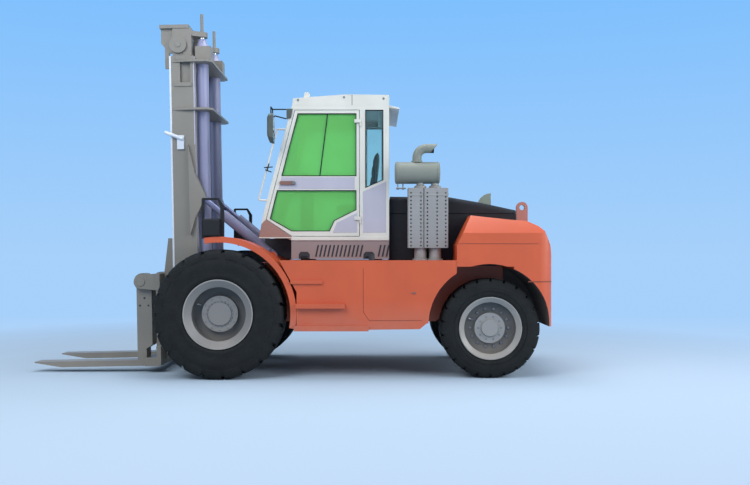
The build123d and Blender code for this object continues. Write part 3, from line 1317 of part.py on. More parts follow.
fixed_pieces = {
    "front_axle": front_axle, "rear_axle": rear_axle, "chassis_frame": chassis_frame,
    "engine_block": engine_block, "counterweight": counterweight, "tail_lamps": tail_lamps,
    "engine_panels": engine_panels, "hood": hood, "muffler": muffler, "exhaust_shields": exhaust_shields,
    "cab_frame": cab_frame, "cab_glass": cab_glass, "cab_door": cab_door, "door_glass": door_glass,
    "cab_roof": cab_roof, "cab_skirt": cab_skirt, "seat": seat, "steering_column": steering_column,
    "mirrors": mirrors, "grab_rails": grab_rails, "headlamps": headlamps,
}
for label, builder in fixed_pieces.items():
    save(builder, label)
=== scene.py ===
import json
from math import copysign, cos, exp, hypot, pi, radians, sin

import bmesh
import bpy
from mathutils import Matrix, Vector

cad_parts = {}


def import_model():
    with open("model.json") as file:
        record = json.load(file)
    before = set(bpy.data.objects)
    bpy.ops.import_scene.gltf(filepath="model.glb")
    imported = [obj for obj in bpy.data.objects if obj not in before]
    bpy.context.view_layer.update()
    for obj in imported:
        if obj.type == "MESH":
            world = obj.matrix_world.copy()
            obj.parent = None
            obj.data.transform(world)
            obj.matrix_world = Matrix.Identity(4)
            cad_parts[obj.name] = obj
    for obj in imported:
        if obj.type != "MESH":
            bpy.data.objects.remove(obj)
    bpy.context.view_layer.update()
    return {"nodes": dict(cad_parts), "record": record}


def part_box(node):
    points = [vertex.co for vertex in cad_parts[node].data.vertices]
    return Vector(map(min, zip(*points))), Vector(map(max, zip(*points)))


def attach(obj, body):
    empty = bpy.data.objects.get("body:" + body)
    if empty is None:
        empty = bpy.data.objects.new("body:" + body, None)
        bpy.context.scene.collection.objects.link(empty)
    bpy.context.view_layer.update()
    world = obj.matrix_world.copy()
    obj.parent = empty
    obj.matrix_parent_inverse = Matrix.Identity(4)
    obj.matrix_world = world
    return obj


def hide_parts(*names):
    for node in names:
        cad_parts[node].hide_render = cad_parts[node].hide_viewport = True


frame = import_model()
nodes = frame["nodes"]

# The truck faces -X, its left side is -Y, Z is up and all lengths are metres.
MAST_PIVOT = Vector((-1.0, 0.0, 0.64))
MAST_LEAN = radians(-1.1)
FRONT_AXLE = Vector((-0.742, 0.0, 0.745))
REAR_AXLE = Vector((2.382, 0.0, 0.576))
ARCH = Vector((2.358, 0.0, 0.623))
LEANED = Matrix.Translation(MAST_PIVOT) @ Matrix.Rotation(MAST_LEAN, 4, "Y") @ Matrix.Translation(-MAST_PIVOT)
UPRIGHT = LEANED.inverted()
# distances from the centre plane, the same on both sides
CAB_OUT = 0.75
DOOR_OUT = 0.748
SKIRT_OUT = 0.744
ROOF_EYE_OUT = 0.70
BODY_OUT = 1.15
MAST_OUT = 0.56
FORK_OUT = 0.54
FRONT_HUB_OUT = 1.067
REAR_HUB_OUT = 0.99
SIDES = (("left", -1), ("right", 1))

# Colours, linear
ORANGE = (0.54, 0.088, 0.026)
# the lifting lug's orange in painted shade
LUG_SHADE_PINK = (0.36, 0.135, 0.105)
MAST_GREY = (0.205, 0.193, 0.168)
# pale paint for the painted highlight down each mast rail's front edge, and the hose guide's own colour
HIGHLIGHT_AND_GUIDE_PALE = (0.60, 0.66, 0.74)
# pale paint for the painted highlight on the rear face of each rail's rear flange
FLANGE_HIGHLIGHT = (0.46, 0.46, 0.54)
LILAC = (0.25, 0.26, 0.40)
BARREL_LILAC = (0.155, 0.16, 0.25)
ROD_LILAC = (0.17, 0.17, 0.26)
WHITE = (0.62, 0.615, 0.56)
PANEL_LILAC = (0.42, 0.415, 0.49)
BLACK = (0.014, 0.014, 0.016)
MUFFLER_GREEN = (0.195, 0.215, 0.185)
FIN_GREEN = (0.20, 0.23, 0.19)
SHIELD_GREY = (0.32, 0.31, 0.29)
SKIRT_BROWN = (0.26, 0.20, 0.195)
RIM_GREY = (0.195, 0.19, 0.185)
RIM_PALE = (0.29, 0.285, 0.275)
# painted shade for the rims' deep recesses
RIM_SHADE = (0.09, 0.09, 0.09)
RUBBER = (0.009, 0.010, 0.010)
GLASS_GREEN = (0.20, 0.66, 0.15)
GLASS_PALE = (0.80, 0.92, 0.84)
SEAT_OLIVE = (0.070, 0.072, 0.045)
DUST = (0.30, 0.26, 0.22, 1.0)


# Materials

def shade(colour, factor):
    return tuple(min(1.0, c * factor) for c in colour) + (1.0,)


def plug(tree, node, values):
    """Give a node's inputs their values, each a number, a colour or a socket to link."""
    for key, value in values.items():
        if isinstance(value, bpy.types.NodeSocket):
            tree.links.new(value, node.inputs[key])
        else:
            node.inputs[key].default_value = value


def add(tree, kind, values, **settings):
    """A new shader node with its settings and the values of its inputs."""
    node = tree.nodes.new("ShaderNode" + kind)
    for key, value in settings.items():
        setattr(node, key, value)
    plug(tree, node, values)
    return node


def new_material(name):
    """A material with its node tree and its Principled shader."""
    made = bpy.data.materials.new(name)
    made.use_nodes = True
    return made, made.node_tree, made.node_tree.nodes["Principled BSDF"]


def coordinates(tree, kind="Object"):
    return add(tree, "TexCoord", {}).outputs[kind]


def combine(tree, operation, a, b):
    return add(tree, "Math", {0: a, 1: b}, operation=operation).outputs[0]


def mix(tree, share, a, b):
    """Colour a, with b mixed in by share."""
    return add(tree, "Mix", {0: share, 6: a, 7: b}, data_type="RGBA").outputs[2]


def remap(tree, value, source, target=(0.0, 1.0)):
    """The value, taken from one range to another."""
    ranges = {"From Min": source[0], "From Max": source[1], "To Min": target[0], "To Max": target[1]}
    return add(tree, "MapRange", {"Value": value, **ranges}).outputs["Result"]


def spread(tree, value, low, high):
    """Noise spread from low to high."""
    return remap(tree, value, (0.3, 0.7), (low, high))


def ramp(tree, value, low, high, colours):
    """A colour ramp over value, from the first colour at low to the second at high."""
    node = add(tree, "ValToRGB", {"Fac": value})
    for element, place, colour in zip(node.color_ramp.elements, (low, high), colours):
        element.position = place
        element.color = colour
    return node.outputs["Color"]


def noise(tree, scale, detail=4.0, stretch=(1.0, 1.0, 1.0)):
    """Noise by the object's own coordinates, in metres."""
    place = add(tree, "Mapping", {"Vector": coordinates(tree), "Scale": stretch}).outputs["Vector"]
    return add(tree, "TexNoise", {"Vector": place, "Scale": scale, "Detail": detail}).outputs["Fac"]


def waves(tree, bands, scale, distortion=0.0):
    values = {"Vector": coordinates(tree), "Scale": scale, "Distortion": distortion}
    return add(tree, "TexWave", values, bands_direction=bands).outputs["Fac"]


def bumped(tree, bsdf, height, strength, distance, round_edges=0.0):
    """Relief on the surface, over edges rounded by round_edges metres."""
    values = {"Height": height, "Strength": strength, "Distance": distance}
    if round_edges:
        values["Normal"] = add(tree, "Bevel", {"Radius": round_edges}, samples=4).outputs["Normal"]
    plug(tree, bsdf, {"Normal": add(tree, "Bump", values).outputs["Normal"]})


def low_dust(tree, top):
    """How much road dust lies on a surface: most near the ground, none above top."""
    height = add(tree, "SeparateXYZ", {"Vector": coordinates(tree)}).outputs["Z"]
    return combine(tree, "MULTIPLY", remap(tree, height, (0.0, top), (1.0, 0.0)), noise(tree, 5.0, 8.0))


def paint(name, colour, roughness=0.4, coat=0.2, dust_top=0.0, gloss=0.5):
    """Sprayed paint: a little uneven in tone, with orange peel and dust low down."""
    made, tree, bsdf = new_material(name)
    tone = ramp(tree, noise(tree, 1.7, 5.0), 0.35, 0.65, (shade(colour, 0.94), shade(colour, 1.05)))
    streaks = noise(tree, 9.0, 6.0, (1.0, 1.0, 0.15))
    tone = mix(tree, spread(tree, streaks, 0.0, 0.10), tone, shade(colour, 0.72))
    if dust_top:
        tone = mix(tree, low_dust(tree, dust_top), tone, DUST)
    plug(tree, bsdf, {
        "Base Color": tone,
        "Roughness": spread(tree, noise(tree, 22.0, 6.0), roughness - 0.06, roughness + 0.08),
        "Coat Weight": coat,
        "Coat Roughness": 0.25,
        "Specular IOR Level": gloss,
    })
    bumped(tree, bsdf, noise(tree, 320.0, 2.0), 0.06, 0.0006, 0.004)
    return made


def bare_metal(name, colour, roughness, metallic=1.0, grain=(1.0, 1.0, 1.0)):
    """Worked steel with a fine grain."""
    made, tree, bsdf = new_material(name)
    plug(tree, bsdf, {
        "Base Color": ramp(tree, noise(tree, 14.0, 8.0, grain), 0.3, 0.7, (shade(colour, 0.8), shade(colour, 1.1))),
        "Roughness": spread(tree, noise(tree, 60.0, 6.0, grain), roughness - 0.06, roughness + 0.12),
        "Metallic": metallic,
    })
    bumped(tree, bsdf, noise(tree, 180.0, 4.0, grain), 0.12, 0.0006, 0.002)
    return made


def rubber(name, colour, dusty):
    """Tyre rubber, greyer where dust sits in the pores."""
    made, tree, bsdf = new_material(name)
    dust = spread(tree, noise(tree, 7.0, 9.0), 0.0, dusty)
    plug(tree, bsdf, {
        "Base Color": mix(tree, dust, shade(colour, 1.0), shade(colour, 3.0)),
        "Roughness": spread(tree, noise(tree, 40.0, 5.0), 0.62, 0.85),
        "Specular IOR Level": 0.2,
    })
    bumped(tree, bsdf, noise(tree, 130.0, 6.0), 0.22, 0.0012, 0.004)
    return made


def plastic(name, colour, roughness=0.45):
    """Grained moulded plastic."""
    made, tree, bsdf = new_material(name)
    plug(tree, bsdf, {
        "Base Color": ramp(tree, noise(tree, 12.0, 5.0), 0.3, 0.7, (shade(colour, 0.85), shade(colour, 1.15))),
        "Roughness": spread(tree, noise(tree, 90.0, 3.0), roughness - 0.08, roughness + 0.1),
        "Specular IOR Level": 0.3,
    })
    cells = add(tree, "TexVoronoi", {"Vector": coordinates(tree), "Scale": 650.0})
    bumped(tree, bsdf, cells.outputs["Distance"], 0.15, 0.0004, 0.002)
    return made


def glass(name, colour, clear, roughness):
    """Tinted safety glass with a slight waviness."""
    made, tree, bsdf = new_material(name)
    plug(tree, bsdf, {
        "Base Color": ramp(tree, noise(tree, 1.3, 3.0), 0.3, 0.7, (shade(colour, 0.94), shade(colour, 1.06))),
        "Transmission Weight": clear,
        "Roughness": roughness,
        "IOR": 1.45,
    })
    bumped(tree, bsdf, noise(tree, 4.0, 1.0), 0.02, 0.002)
    return made


def fabric(name, colour):
    """Woven seat cloth."""
    made, tree, bsdf = new_material(name)
    thread = combine(tree, "MULTIPLY", waves(tree, "X", 110.0, 0.6), waves(tree, "Z", 110.0, 0.6))
    tone = mix(tree, thread, shade(colour, 0.7), shade(colour, 1.8))
    plug(tree, bsdf, {"Base Color": tone, "Roughness": 0.9, "Sheen Weight": 0.3})
    bumped(tree, bsdf, thread, 0.4, 0.0008)
    return made


def chain_steel(name):
    """Leaf chain: rows of link plates with a pin at each pitch."""
    made, tree, bsdf = new_material(name)
    relief = combine(tree, "MULTIPLY", waves(tree, "Z", 8.0), waves(tree, "Y", 36.0))
    tone = mix(tree, relief, (0.03, 0.03, 0.03, 1.0), (0.22, 0.22, 0.22, 1.0))
    plug(tree, bsdf, {"Base Color": tone, "Metallic": 0.9, "Roughness": 0.45})
    bumped(tree, bsdf, relief, 0.8, 0.006)
    return made


finish = {
    "orange_paint": paint("Orange paint", ORANGE, 0.40, 0.2, 0.9),
    "grey_paint": paint("Grey mast paint", MAST_GREY, 0.50, 0.05, 0.6),
    "lilac_paint": paint("Lilac paint", LILAC, 0.38, 0.15),
    "white_paint": paint("White paint", WHITE, 0.38, 0.2),
    "black_paint": paint("Black paint", BLACK, 0.6, 0.0, gloss=0.22),
    "muffler_paint": paint("Muffler paint", MUFFLER_GREEN, 0.55, 0.0),
    "shield_steel": bare_metal("Shield steel", SHIELD_GREY, 0.5, 0.25),
    "skirt_paint": paint("Skirt paint", SKIRT_BROWN, 0.45, 0.1),
    "rim_paint": paint("Rim paint", RIM_GREY, 0.45, 0.1, 0.8),
    "tyre_rubber": rubber("Tyre rubber", RUBBER, 0.25),
    "green_glass": glass("Pale green glass", GLASS_PALE, 1.0, 0.0),
    "rod_chrome": bare_metal("Hard chrome", (0.62, 0.62, 0.64), 0.12, 1.0, (1.0, 1.0, 0.1)),
    "chain_steel": chain_steel("Chain steel"),
    "axle_iron": bare_metal("Axle iron", (0.035, 0.034, 0.034), 0.62, 0.3),
    "black_plastic": plastic("Black plastic", (0.012, 0.012, 0.013), 0.55),
    "seat_fabric": fabric("Seat cloth", SEAT_OLIVE),
    "lamp_plastic": plastic("Lamp plastic", (0.5, 0.02, 0.01), 0.18),
}
door_green = glass("Green door glass", GLASS_GREEN, 0.45, 0.10)
panel_paint = paint("Lilac panel paint", PANEL_LILAC, 0.45, 0.1)
handle_brown = paint("Brown handle", (0.20, 0.095, 0.07), 0.45, 0.1)
# painted shade for the counterweight's lifting lug
lug_shade_paint = paint("Lug paint", LUG_SHADE_PINK, 0.5, 0.05)
fin_paint = paint("Fin paint", FIN_GREEN, 0.55, 0.0)
# painted highlight on the mast rails' front edges; also the hose guide's paint
highlight_and_guide_paint = paint("Pale edge paint", HIGHLIGHT_AND_GUIDE_PALE, 0.30, 0.3)
flange_highlight_paint = paint("Pale flange paint", FLANGE_HIGHLIGHT, 0.35, 0.2)
shield_pale = paint("Shield paint", (0.262, 0.262, 0.262), 0.45, 0.0)
# painted shade on the inner wall of the rear arch
arch_shade_paint = paint("Arch paint", (0.17, 0.045, 0.03), 0.6, 0.0)
seam_paint = paint("Seam paint", (0.22, 0.04, 0.018), 0.6, 0.0)
barrel_paint = paint("Barrel paint", BARREL_LILAC, 0.4, 0.1)
rod_paint = bare_metal("Tilt rod", ROD_LILAC, 0.3, 0.5)
# painted shade with a painted reflection of the orange body, for the white cab nose's lower cheek
cheek_shade_paint = paint("Nose cheek paint", (0.30, 0.16, 0.13), 0.5, 0.0)
# painted shade in the rims' recesses
rim_recess_shade = paint("Rim recess paint", RIM_SHADE, 0.6, 0.0, 0.8)
rim_pale = paint("Rim ring paint", RIM_PALE, 0.42, 0.1, 0.8)
# near-black: painted shade inside the fender, in the louvre slots and inside the heat shield; elsewhere plain
# near-black parts
shade_and_black_trim_paint = paint("Dark recess paint", (0.020, 0.021, 0.024), 0.65, 0.0, 0.9)
# painted shade inside the rear wheel well
well_shade_paint = paint("Wheel well paint", (0.075, 0.062, 0.058), 0.6, 0.0, 0.9)
mirror_shell = plastic("Mirror shell", (0.075, 0.088, 0.078), 0.5)
bolt_steel = bare_metal("Bolt steel", (0.20, 0.20, 0.21), 0.4, 0.6)
bolt_pale = bare_metal("Zinc bolt", (0.62, 0.62, 0.64), 0.35, 0.4)
seal_rubber = rubber("Seal rubber", (0.012, 0.012, 0.013), 0.1)
lens_glass = glass("Lamp lens", (0.85, 0.88, 0.90), 0.85, 0.05)
mirror_glass = bare_metal("Mirror glass", (0.75, 0.78, 0.80), 0.08)

slot_of = {row["node"]: row["material_slot"] for row in frame["record"]["subparts"]}
own_finish = {
    "door_glass": door_green,
    "tilt_barrel_left": barrel_paint, "tilt_barrel_right": barrel_paint,
    "tilt_rod_left": rod_paint, "tilt_rod_right": rod_paint,
}
for name, node in nodes.items():
    node.data.materials.clear()
    node.data.materials.append(own_finish.get(name, finish[slot_of[name]]))


# Second finishes on the faces of a node

def repaint(name, material, chosen, upright=False):
    """Give material to the faces of a node that chosen(centre, normal) picks. upright takes the mast's lean away."""
    data = nodes[name].data
    index = len(data.materials)
    data.materials.append(material)
    for face in data.polygons:
        centre, normal = face.center, face.normal
        if upright:
            centre, normal = UPRIGHT @ centre, UPRIGHT.to_3x3() @ normal
        if chosen(centre, normal):
            face.material_index = index


def from_axle(centre, axle):
    return hypot(centre.x - axle.x, centre.z - axle.z)


# radii between which a rim gets painted recess shade, and how far out its pale ring begins
FRONT_RECESS = (0.208, 0.313)
FRONT_RING_R = 0.385
FRONT_RING_OUT = 1.2
REAR_RECESS = (0.176, 0.302)
REAR_RING_OUT = 1.02
FENDER_LIP_R = (0.87, 0.882)
ARCH_R = (0.68, 0.70)
LUG_HALF = 0.0305

for hand, _ in SIDES:
    front, rear, box = "rim_front_" + hand, "rim_rear_" + hand, "side_box_" + hand
    repaint(front, rim_recess_shade, lambda c, n: FRONT_RECESS[0] < from_axle(c, FRONT_AXLE) < FRONT_RECESS[1])
    repaint(front, rim_pale, lambda c, n: from_axle(c, FRONT_AXLE) > FRONT_RING_R and abs(c.y) > FRONT_RING_OUT)
    repaint(rear, rim_recess_shade, lambda c, n: REAR_RECESS[0] < from_axle(c, REAR_AXLE) < REAR_RECESS[1])
    repaint(rear, rim_pale, lambda c, n: from_axle(c, REAR_AXLE) > REAR_RECESS[1] and abs(c.y) > REAR_RING_OUT)
    repaint(rear, shield_pale, lambda c, n: from_axle(c, REAR_AXLE) < REAR_RECESS[0])
    # the fender's inner faces get painted shade
    repaint(box, shade_and_black_trim_paint,
            lambda c, n: FENDER_LIP_R[0] < from_axle(c, FRONT_AXLE) < FENDER_LIP_R[1] and abs(n.y) < 0.5)
    # the rear arch's inner wall gets painted shade
    repaint(box, arch_shade_paint, lambda c, n: ARCH_R[0] < from_axle(c, ARCH) < ARCH_R[1] and abs(n.y) < 0.5)
# the rear face of each rail's rear flange gets a painted highlight
repaint("outer_mast", flange_highlight_paint, lambda c, n: n.x > 0.9 and abs(c.x + 1.095) < 0.002 and abs(c.y) > 0.4, True)
repaint("cab_door", handle_brown, lambda c, n: c.y < -0.7485 and -0.1 < c.x < 0.11 and 2.25 < c.z < 2.31)
# the cab nose's lower cheek gets painted shade and a painted orange reflection
repaint("cab_frame", cheek_shade_paint, lambda c, n: c.z < 1.78 and c.x < 0.055 and abs(c.y) > 0.71)
# the counterweight's lifting lug gets painted shade
repaint("counterweight", lug_shade_paint, lambda c, n: abs(c.y) < LUG_HALF and c.z > 1.75 and 2.85 < c.x < 3.01)
# the counterweight's wheel well gets painted shade
repaint("counterweight", well_shade_paint, lambda c, n: from_axle(c, ARCH) < ARCH_R[1] and abs(c.y) < 1.12)
repaint("hood", fin_paint, lambda c, n: abs(c.y) < LUG_HALF and 2.36 < c.x < 2.535)
repaint("headlamps", lens_glass, lambda c, n: n.x < -0.9 and -0.916 < c.x < -0.910)


# Making pieces

def placed(name, data, place=(0.0, 0.0, 0.0)):
    """An object in the scene."""
    made = bpy.data.objects.new(name, data)
    made.location = place
    bpy.context.scene.collection.objects.link(made)
    return made


def mesh_data(name, mesh):
    data = bpy.data.meshes.new(name)
    mesh.to_mesh(data)
    mesh.free()
    return data


def piece(name, mesh, material, body, node=None):
    """An object from a bmesh, riding on a body. It may stand for a node."""
    made = placed(name, mesh_data(name, mesh))
    made.data.materials.append(material)
    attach(made, body)
    if node:
        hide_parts(node)
    return made


def bevelled(made, width, segments=2):
    modifier = made.modifiers.new("Round", "BEVEL")
    modifier.width = width
    modifier.segments = segments
    modifier.limit_method = "ANGLE"
    modifier.angle_limit = radians(35)
    return made


def bridge(mesh, rings, ends="capped"):
    """Faces from each ring of vertices to the next. The ends are capped, joined to each other or left open."""
    following = rings[1:] + rings[:1] if ends == "joined" else rings[1:]
    for first, second in zip(rings, following):
        for j in range(len(first)):
            k = (j + 1) % len(first)
            mesh.faces.new((first[j], first[k], second[k], second[j]))
    if ends == "capped":
        mesh.faces.new(rings[0])
        mesh.faces.new(list(reversed(rings[-1])))


def outward(mesh):
    bmesh.ops.recalc_face_normals(mesh, faces=mesh.faces)


def smooth(mesh, angle=40):
    """Normals outwards and faces smooth, but for edges sharper than angle degrees."""
    outward(mesh)
    for face in mesh.faces:
        face.smooth = True
    for edge in mesh.edges:
        if len(edge.link_faces) == 2 and edge.calc_face_angle(0.0) > radians(angle):
            edge.smooth = False


def turned(mesh, profile, foot, axis, steps=32):
    """A turned piece from (along, radius) about an axis through foot."""
    foot = Vector(foot)
    turn = Vector(axis).to_track_quat("Z", "Y").to_matrix()
    angles = [2 * pi * i / steps for i in range(steps)]
    bridge(mesh, [
        [mesh.verts.new(foot + turn @ Vector((r * cos(a), r * sin(a), along))) for a in angles]
        for along, r in profile
    ])


# Tyres

def tyre(name, node, axle, radius, bead, width, lugs, depth, body):
    """A tyre with wide lugs parted by short grooves. Its lug tops are the node's own crown."""
    low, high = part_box(node)
    side = 1 if high.y < 0 else -1
    outer = max(abs(low.y), abs(high.y))
    middle = outer - width / 2
    half = width / 2
    crown = radius - depth
    tall = radius - bead
    # distance from the middle as a share of the half width, radius
    wall = (
        (0.86, bead), (0.86, bead + 0.02), (0.95, bead + 0.045), (0.965, bead + 0.075), (0.955, bead + 0.082),
        (0.99, bead + 0.36 * tall), (1.0, bead + 0.50 * tall), (0.995, bead + 0.62 * tall),
        (0.985, bead + 0.64 * tall), (0.985, bead + 0.74 * tall), (0.955, crown - 0.03), (0.90, crown - 0.008),
        (0.5, crown), (0.1, crown),
    )
    profile = [(middle + share * half, r) for share, r in wall]
    profile += [(middle - share * half, r) for share, r in reversed(wall)]
    mesh = bmesh.new()
    rings = []
    for i in range(TYRE_STEPS):
        a = 2 * pi * i / TYRE_STEPS
        rings.append([mesh.verts.new((axle.x + r * cos(a), -side * out, axle.z + r * sin(a))) for out, r in profile])
    bridge(mesh, rings, "joined")
    # share of the half width, top radius, foot radius, turn in pitches
    stations = (
        (-0.02, radius - 0.002, crown - 0.01, -0.30), (0.40, radius, crown - 0.01, -0.16),
        (0.74, radius - 0.001, crown - 0.01, -0.04), (0.87, radius - 0.010, crown - 0.02, 0.0),
        (0.95, radius - 0.034, crown - 0.04, 0.0), (0.985, radius - 0.072, crown - 0.06, 0.0),
        (0.987, radius - 0.105, radius - 0.110, 0.0),
    )
    pitch = 2 * pi / lugs
    steps = range(LUG_STEPS + 1)
    for half_side in (1, -1):
        for i in range(lugs):
            base = (i + (0.5 if half_side < 0 else 0.0)) * pitch
            rows = []
            for share, top, foot, turn in stations:
                y = -side * (middle + half_side * share * half)
                inside = -side * (middle + half_side * (share - 0.04) * half)
                places = [(top, LUG_SHARE * (2 * j / LUG_STEPS - 1) / 2, y) for j in steps]
                places += [(foot, LUG_SHARE * (1 - 2 * j / LUG_STEPS) / 2, inside) for j in steps]
                row = []
                for r, place, at in places:
                    a = base + (turn + place) * pitch
                    row.append(mesh.verts.new((axle.x + r * cos(a), at, axle.z + r * sin(a))))
                rows.append(row)
            bridge(mesh, rows)
    smooth(mesh)
    piece(name, mesh, finish["tyre_rubber"], body, node)


TYRE_STEPS = 120
LUG_STEPS = 4
LUG_SHARE = 0.83
# axle, radius, bead radius, width, lugs and their depth
wheels = (("front", FRONT_AXLE, 0.745, 0.379, 0.52, 19, 0.030), ("rear", REAR_AXLE, 0.576, 0.344, 0.41, 22, 0.024))
for hand, _ in SIDES:
    for label, *sizes in wheels:
        end = label + "_" + hand
        tyre("tread_" + end, "tyre_" + end, *sizes, "wheel_" + end)


# Bolts

def bolts(name, places, axis, radius, height, material, body):
    """Hexagon heads standing on a surface along axis."""
    mesh = bmesh.new()
    for place in places:
        turned(mesh, ((0.0, radius), (0.8 * height, radius), (height, 0.86 * radius)), place, axis, 6)
    outward(mesh)
    piece(name, mesh, material, body)


def bolt_ring(axle, out, radius, count):
    return [
        (axle.x + radius * cos(2 * pi * i / count), out, axle.z + radius * sin(2 * pi * i / count))
        for i in range(count)
    ]


# places along x and z on the outer faces
fork_bolts = ((-1.796, 1.162), (-1.839, 1.077), (-1.735, 1.077), (-1.814, 0.809), (-1.711, 0.809), (-1.760, 0.90))
roof_bolts = ((0.130, 3.272), (0.678, 3.305), (1.150, 3.290))
for hand, side in SIDES:
    front, rear = "wheel_front_" + hand, "wheel_rear_" + hand
    front_out, rear_out = side * FRONT_HUB_OUT, side * REAR_HUB_OUT
    for name, places, radius, height, material, body in (
        ("hub_bolts_front_", bolt_ring(FRONT_AXLE, front_out, 0.143, 22), 0.011, 0.010, bolt_steel, front),
        ("hub_cap_bolts_front_", bolt_ring(FRONT_AXLE, front_out, 0.188, 12), 0.008, 0.006, bolt_steel, front),
        ("hub_bolts_rear_", bolt_ring(REAR_AXLE, rear_out - side * 0.05, 0.222, 14), 0.016, 0.016, bolt_steel, rear),
        ("hub_cap_bolts_rear_", bolt_ring(REAR_AXLE, rear_out, 0.135, 10), 0.009, 0.008, bolt_steel, rear),
        ("fork_bolts_", [(x, side * FORK_OUT, z) for x, z in fork_bolts], 0.012, 0.006, shade_and_black_trim_paint, "carriage"),
        ("roof_bolts_", [(x, side * CAB_OUT, z) for x, z in roof_bolts], 0.014, 0.008, bolt_steel, "chassis"),
    ):
        bolts(name + hand, places, (0.0, side, 0.0), radius, height, material, body)


# Lift cylinders, the two barrels with their glands

CYLINDER_X = -1.022
CYLINDER_OUT = 0.390
# height and radius
barrel = (
    (0.290, 0.060), (0.290, 0.080), (0.380, 0.080), (0.385, 0.072), (3.900, 0.072), (3.905, 0.080), (3.985, 0.080),
    (3.992, 0.074), (4.075, 0.050), (4.085, 0.046),
)
mesh = bmesh.new()
for _, side in SIDES:
    foot = LEANED @ Vector((CYLINDER_X, side * CYLINDER_OUT, 0.0))
    turned(mesh, barrel, foot, LEANED.to_3x3() @ Vector((0, 0, 1)), 40)
smooth(mesh, 30)
piece("lift_barrels", mesh, finish["lilac_paint"], "outer_mast", "lift_cylinders")


# Window seals and the split line of the sliding pane

def grown(outline, by):
    """The outline moved outwards by a distance, its points counter-clockwise."""
    moved = []
    count = len(outline)
    for i in range(count):
        here = Vector(outline[i])
        before = (here - Vector(outline[i - 1])).normalized()
        after = (Vector(outline[(i + 1) % count]) - here).normalized()
        normals = Vector((before.y, -before.x)), Vector((after.y, -after.x))
        moved.append(here + (normals[0] + normals[1]) * (by / (1 + normals[0].dot(normals[1]))))
    return moved


def seal(name, outline, place, body, wide=(-0.003, 0.006), proud=0.004, deep=0.020):
    """A rubber lip round a window. place turns the outline's plane and its outward side into the truck's."""
    mesh = bmesh.new()
    rings = []
    for by, level in ((wide[1], 0.0), (wide[1] - 0.002, proud), (wide[0], proud), (wide[0], -deep)):
        rings.append([mesh.verts.new(place @ Vector((p.x, p.y, level))) for p in grown(outline, by)])
    bridge(mesh, rings, "joined")
    outward(mesh)
    piece(name, mesh, seal_rubber, body)


def wall_place(y):
    """The outer face of a side wall at y: along x, up, out."""
    out = -1.0 if y < 0 else 1.0
    return Matrix(((1, 0, 0, 0), (0, 0, out, y), (0, 1, 0, 0), (0, 0, 0, 1)))


upper_window = ((-0.062, 2.370), (0.821, 2.370), (0.821, 3.109), (0.130, 3.109))
lower_window = (
    (-0.200, 1.857), (0.055, 1.712), (0.505, 1.712), (0.560, 1.835), (0.821, 1.965), (0.821, 2.192), (-0.117, 2.192),
)
quarter_window = ((0.937, 2.232), (1.142, 2.322), (1.142, 3.150), (0.937, 3.150))
door_outline = ((-0.246, 1.850), (0.060, 1.650), (0.860, 1.650), (0.860, 3.150), (0.094, 3.150))
for label, outline in (("upper", upper_window), ("lower", lower_window)):
    seal("seal_door_" + label, outline, wall_place(-DOOR_OUT), "cab_door")
    seal("seal_right_" + label, outline, wall_place(CAB_OUT), "chassis")
for hand, side in SIDES:
    seal("seal_quarter_" + hand, quarter_window, wall_place(side * CAB_OUT), "chassis")
seal("seal_door_edge", door_outline, wall_place(-DOOR_OUT + 0.004), "cab_door", (-0.004, 0.0015), 0.0, 0.030)

# the windscreen's plane leans back along the pillars
pillar = Vector((0.3335, 0.0, 1.272)).normalized()
screen_place = Matrix((
    (0, pillar.x, -pillar.z, -0.287), (-1, 0, 0, 0), (0, pillar.z, pillar.x, 1.905), (0, 0, 0, 1)))
screen_window = ((-0.64, 0.07), (0.64, 0.07), (0.64, 1.225), (-0.64, 1.225))
seal("seal_screen", screen_window, screen_place, "chassis")
rear_place = Matrix(((0, 0, 1, 1.217), (1, 0, 0, 0), (0, 1, 0, 0), (0, 0, 0, 1)))
rear_window = ((-0.60, 2.35), (0.60, 2.35), (0.60, 3.12), (-0.60, 3.12))
seal("seal_rear", rear_window, rear_place, "chassis")


def bar(mesh, start, end, wide, thick, up):
    """A flat bar between two points, thick along up."""
    start, end, up = Vector(start), Vector(end), Vector(up)
    across = (end - start).cross(up).normalized() * (wide / 2)
    rise = up.normalized() * (thick / 2)
    corners = [across * a + rise * b for a, b in ((1, 1), (-1, 1), (-1, -1), (1, -1))]
    bridge(mesh, [[mesh.verts.new(centre + corner) for corner in corners] for centre in (start, end)])
    outward(mesh)


def bars(name, rows, material, body, width, node=None):
    """A piece of flat bars, each of them (start, end, wide, thick, up)."""
    mesh = bmesh.new()
    for row in rows:
        bar(mesh, *row)
    bevelled(piece(name, mesh, material, body, node), width)


def on_screen(across, along, level):
    return screen_place @ Vector((across, along, level))


AWAY = (0, 1, 0)
split = ((0.482, -0.735, 3.109), (0.389, -0.735, 2.370), 0.010, 0.012, AWAY)
lock = ((0.062, -0.776, 2.282), (0.098, -0.776, 2.282), 0.036, 0.012, AWAY)
bars("split_line", [split], seal_rubber, "cab_door", 0.002)
# arm, blade and spindle of the wiper
out_of_screen = Vector((-pillar.z, 0.0, pillar.x))
bars("wiper", [
    (on_screen(0.30, 0.03, 0.03), on_screen(-0.12, 0.62, 0.02), 0.022, 0.012, out_of_screen),
    (on_screen(-0.28, 0.42, 0.004), on_screen(0.06, 0.80, 0.004), 0.012, 0.026, out_of_screen),
    (on_screen(0.25, 0.02, 0.012), on_screen(0.35, 0.02, 0.012), 0.05, 0.05, out_of_screen),
], finish["black_plastic"], "chassis", 0.004)
bars("door_lock", [lock], bolt_steel, "cab_door", 0.003)


# Tyre valves

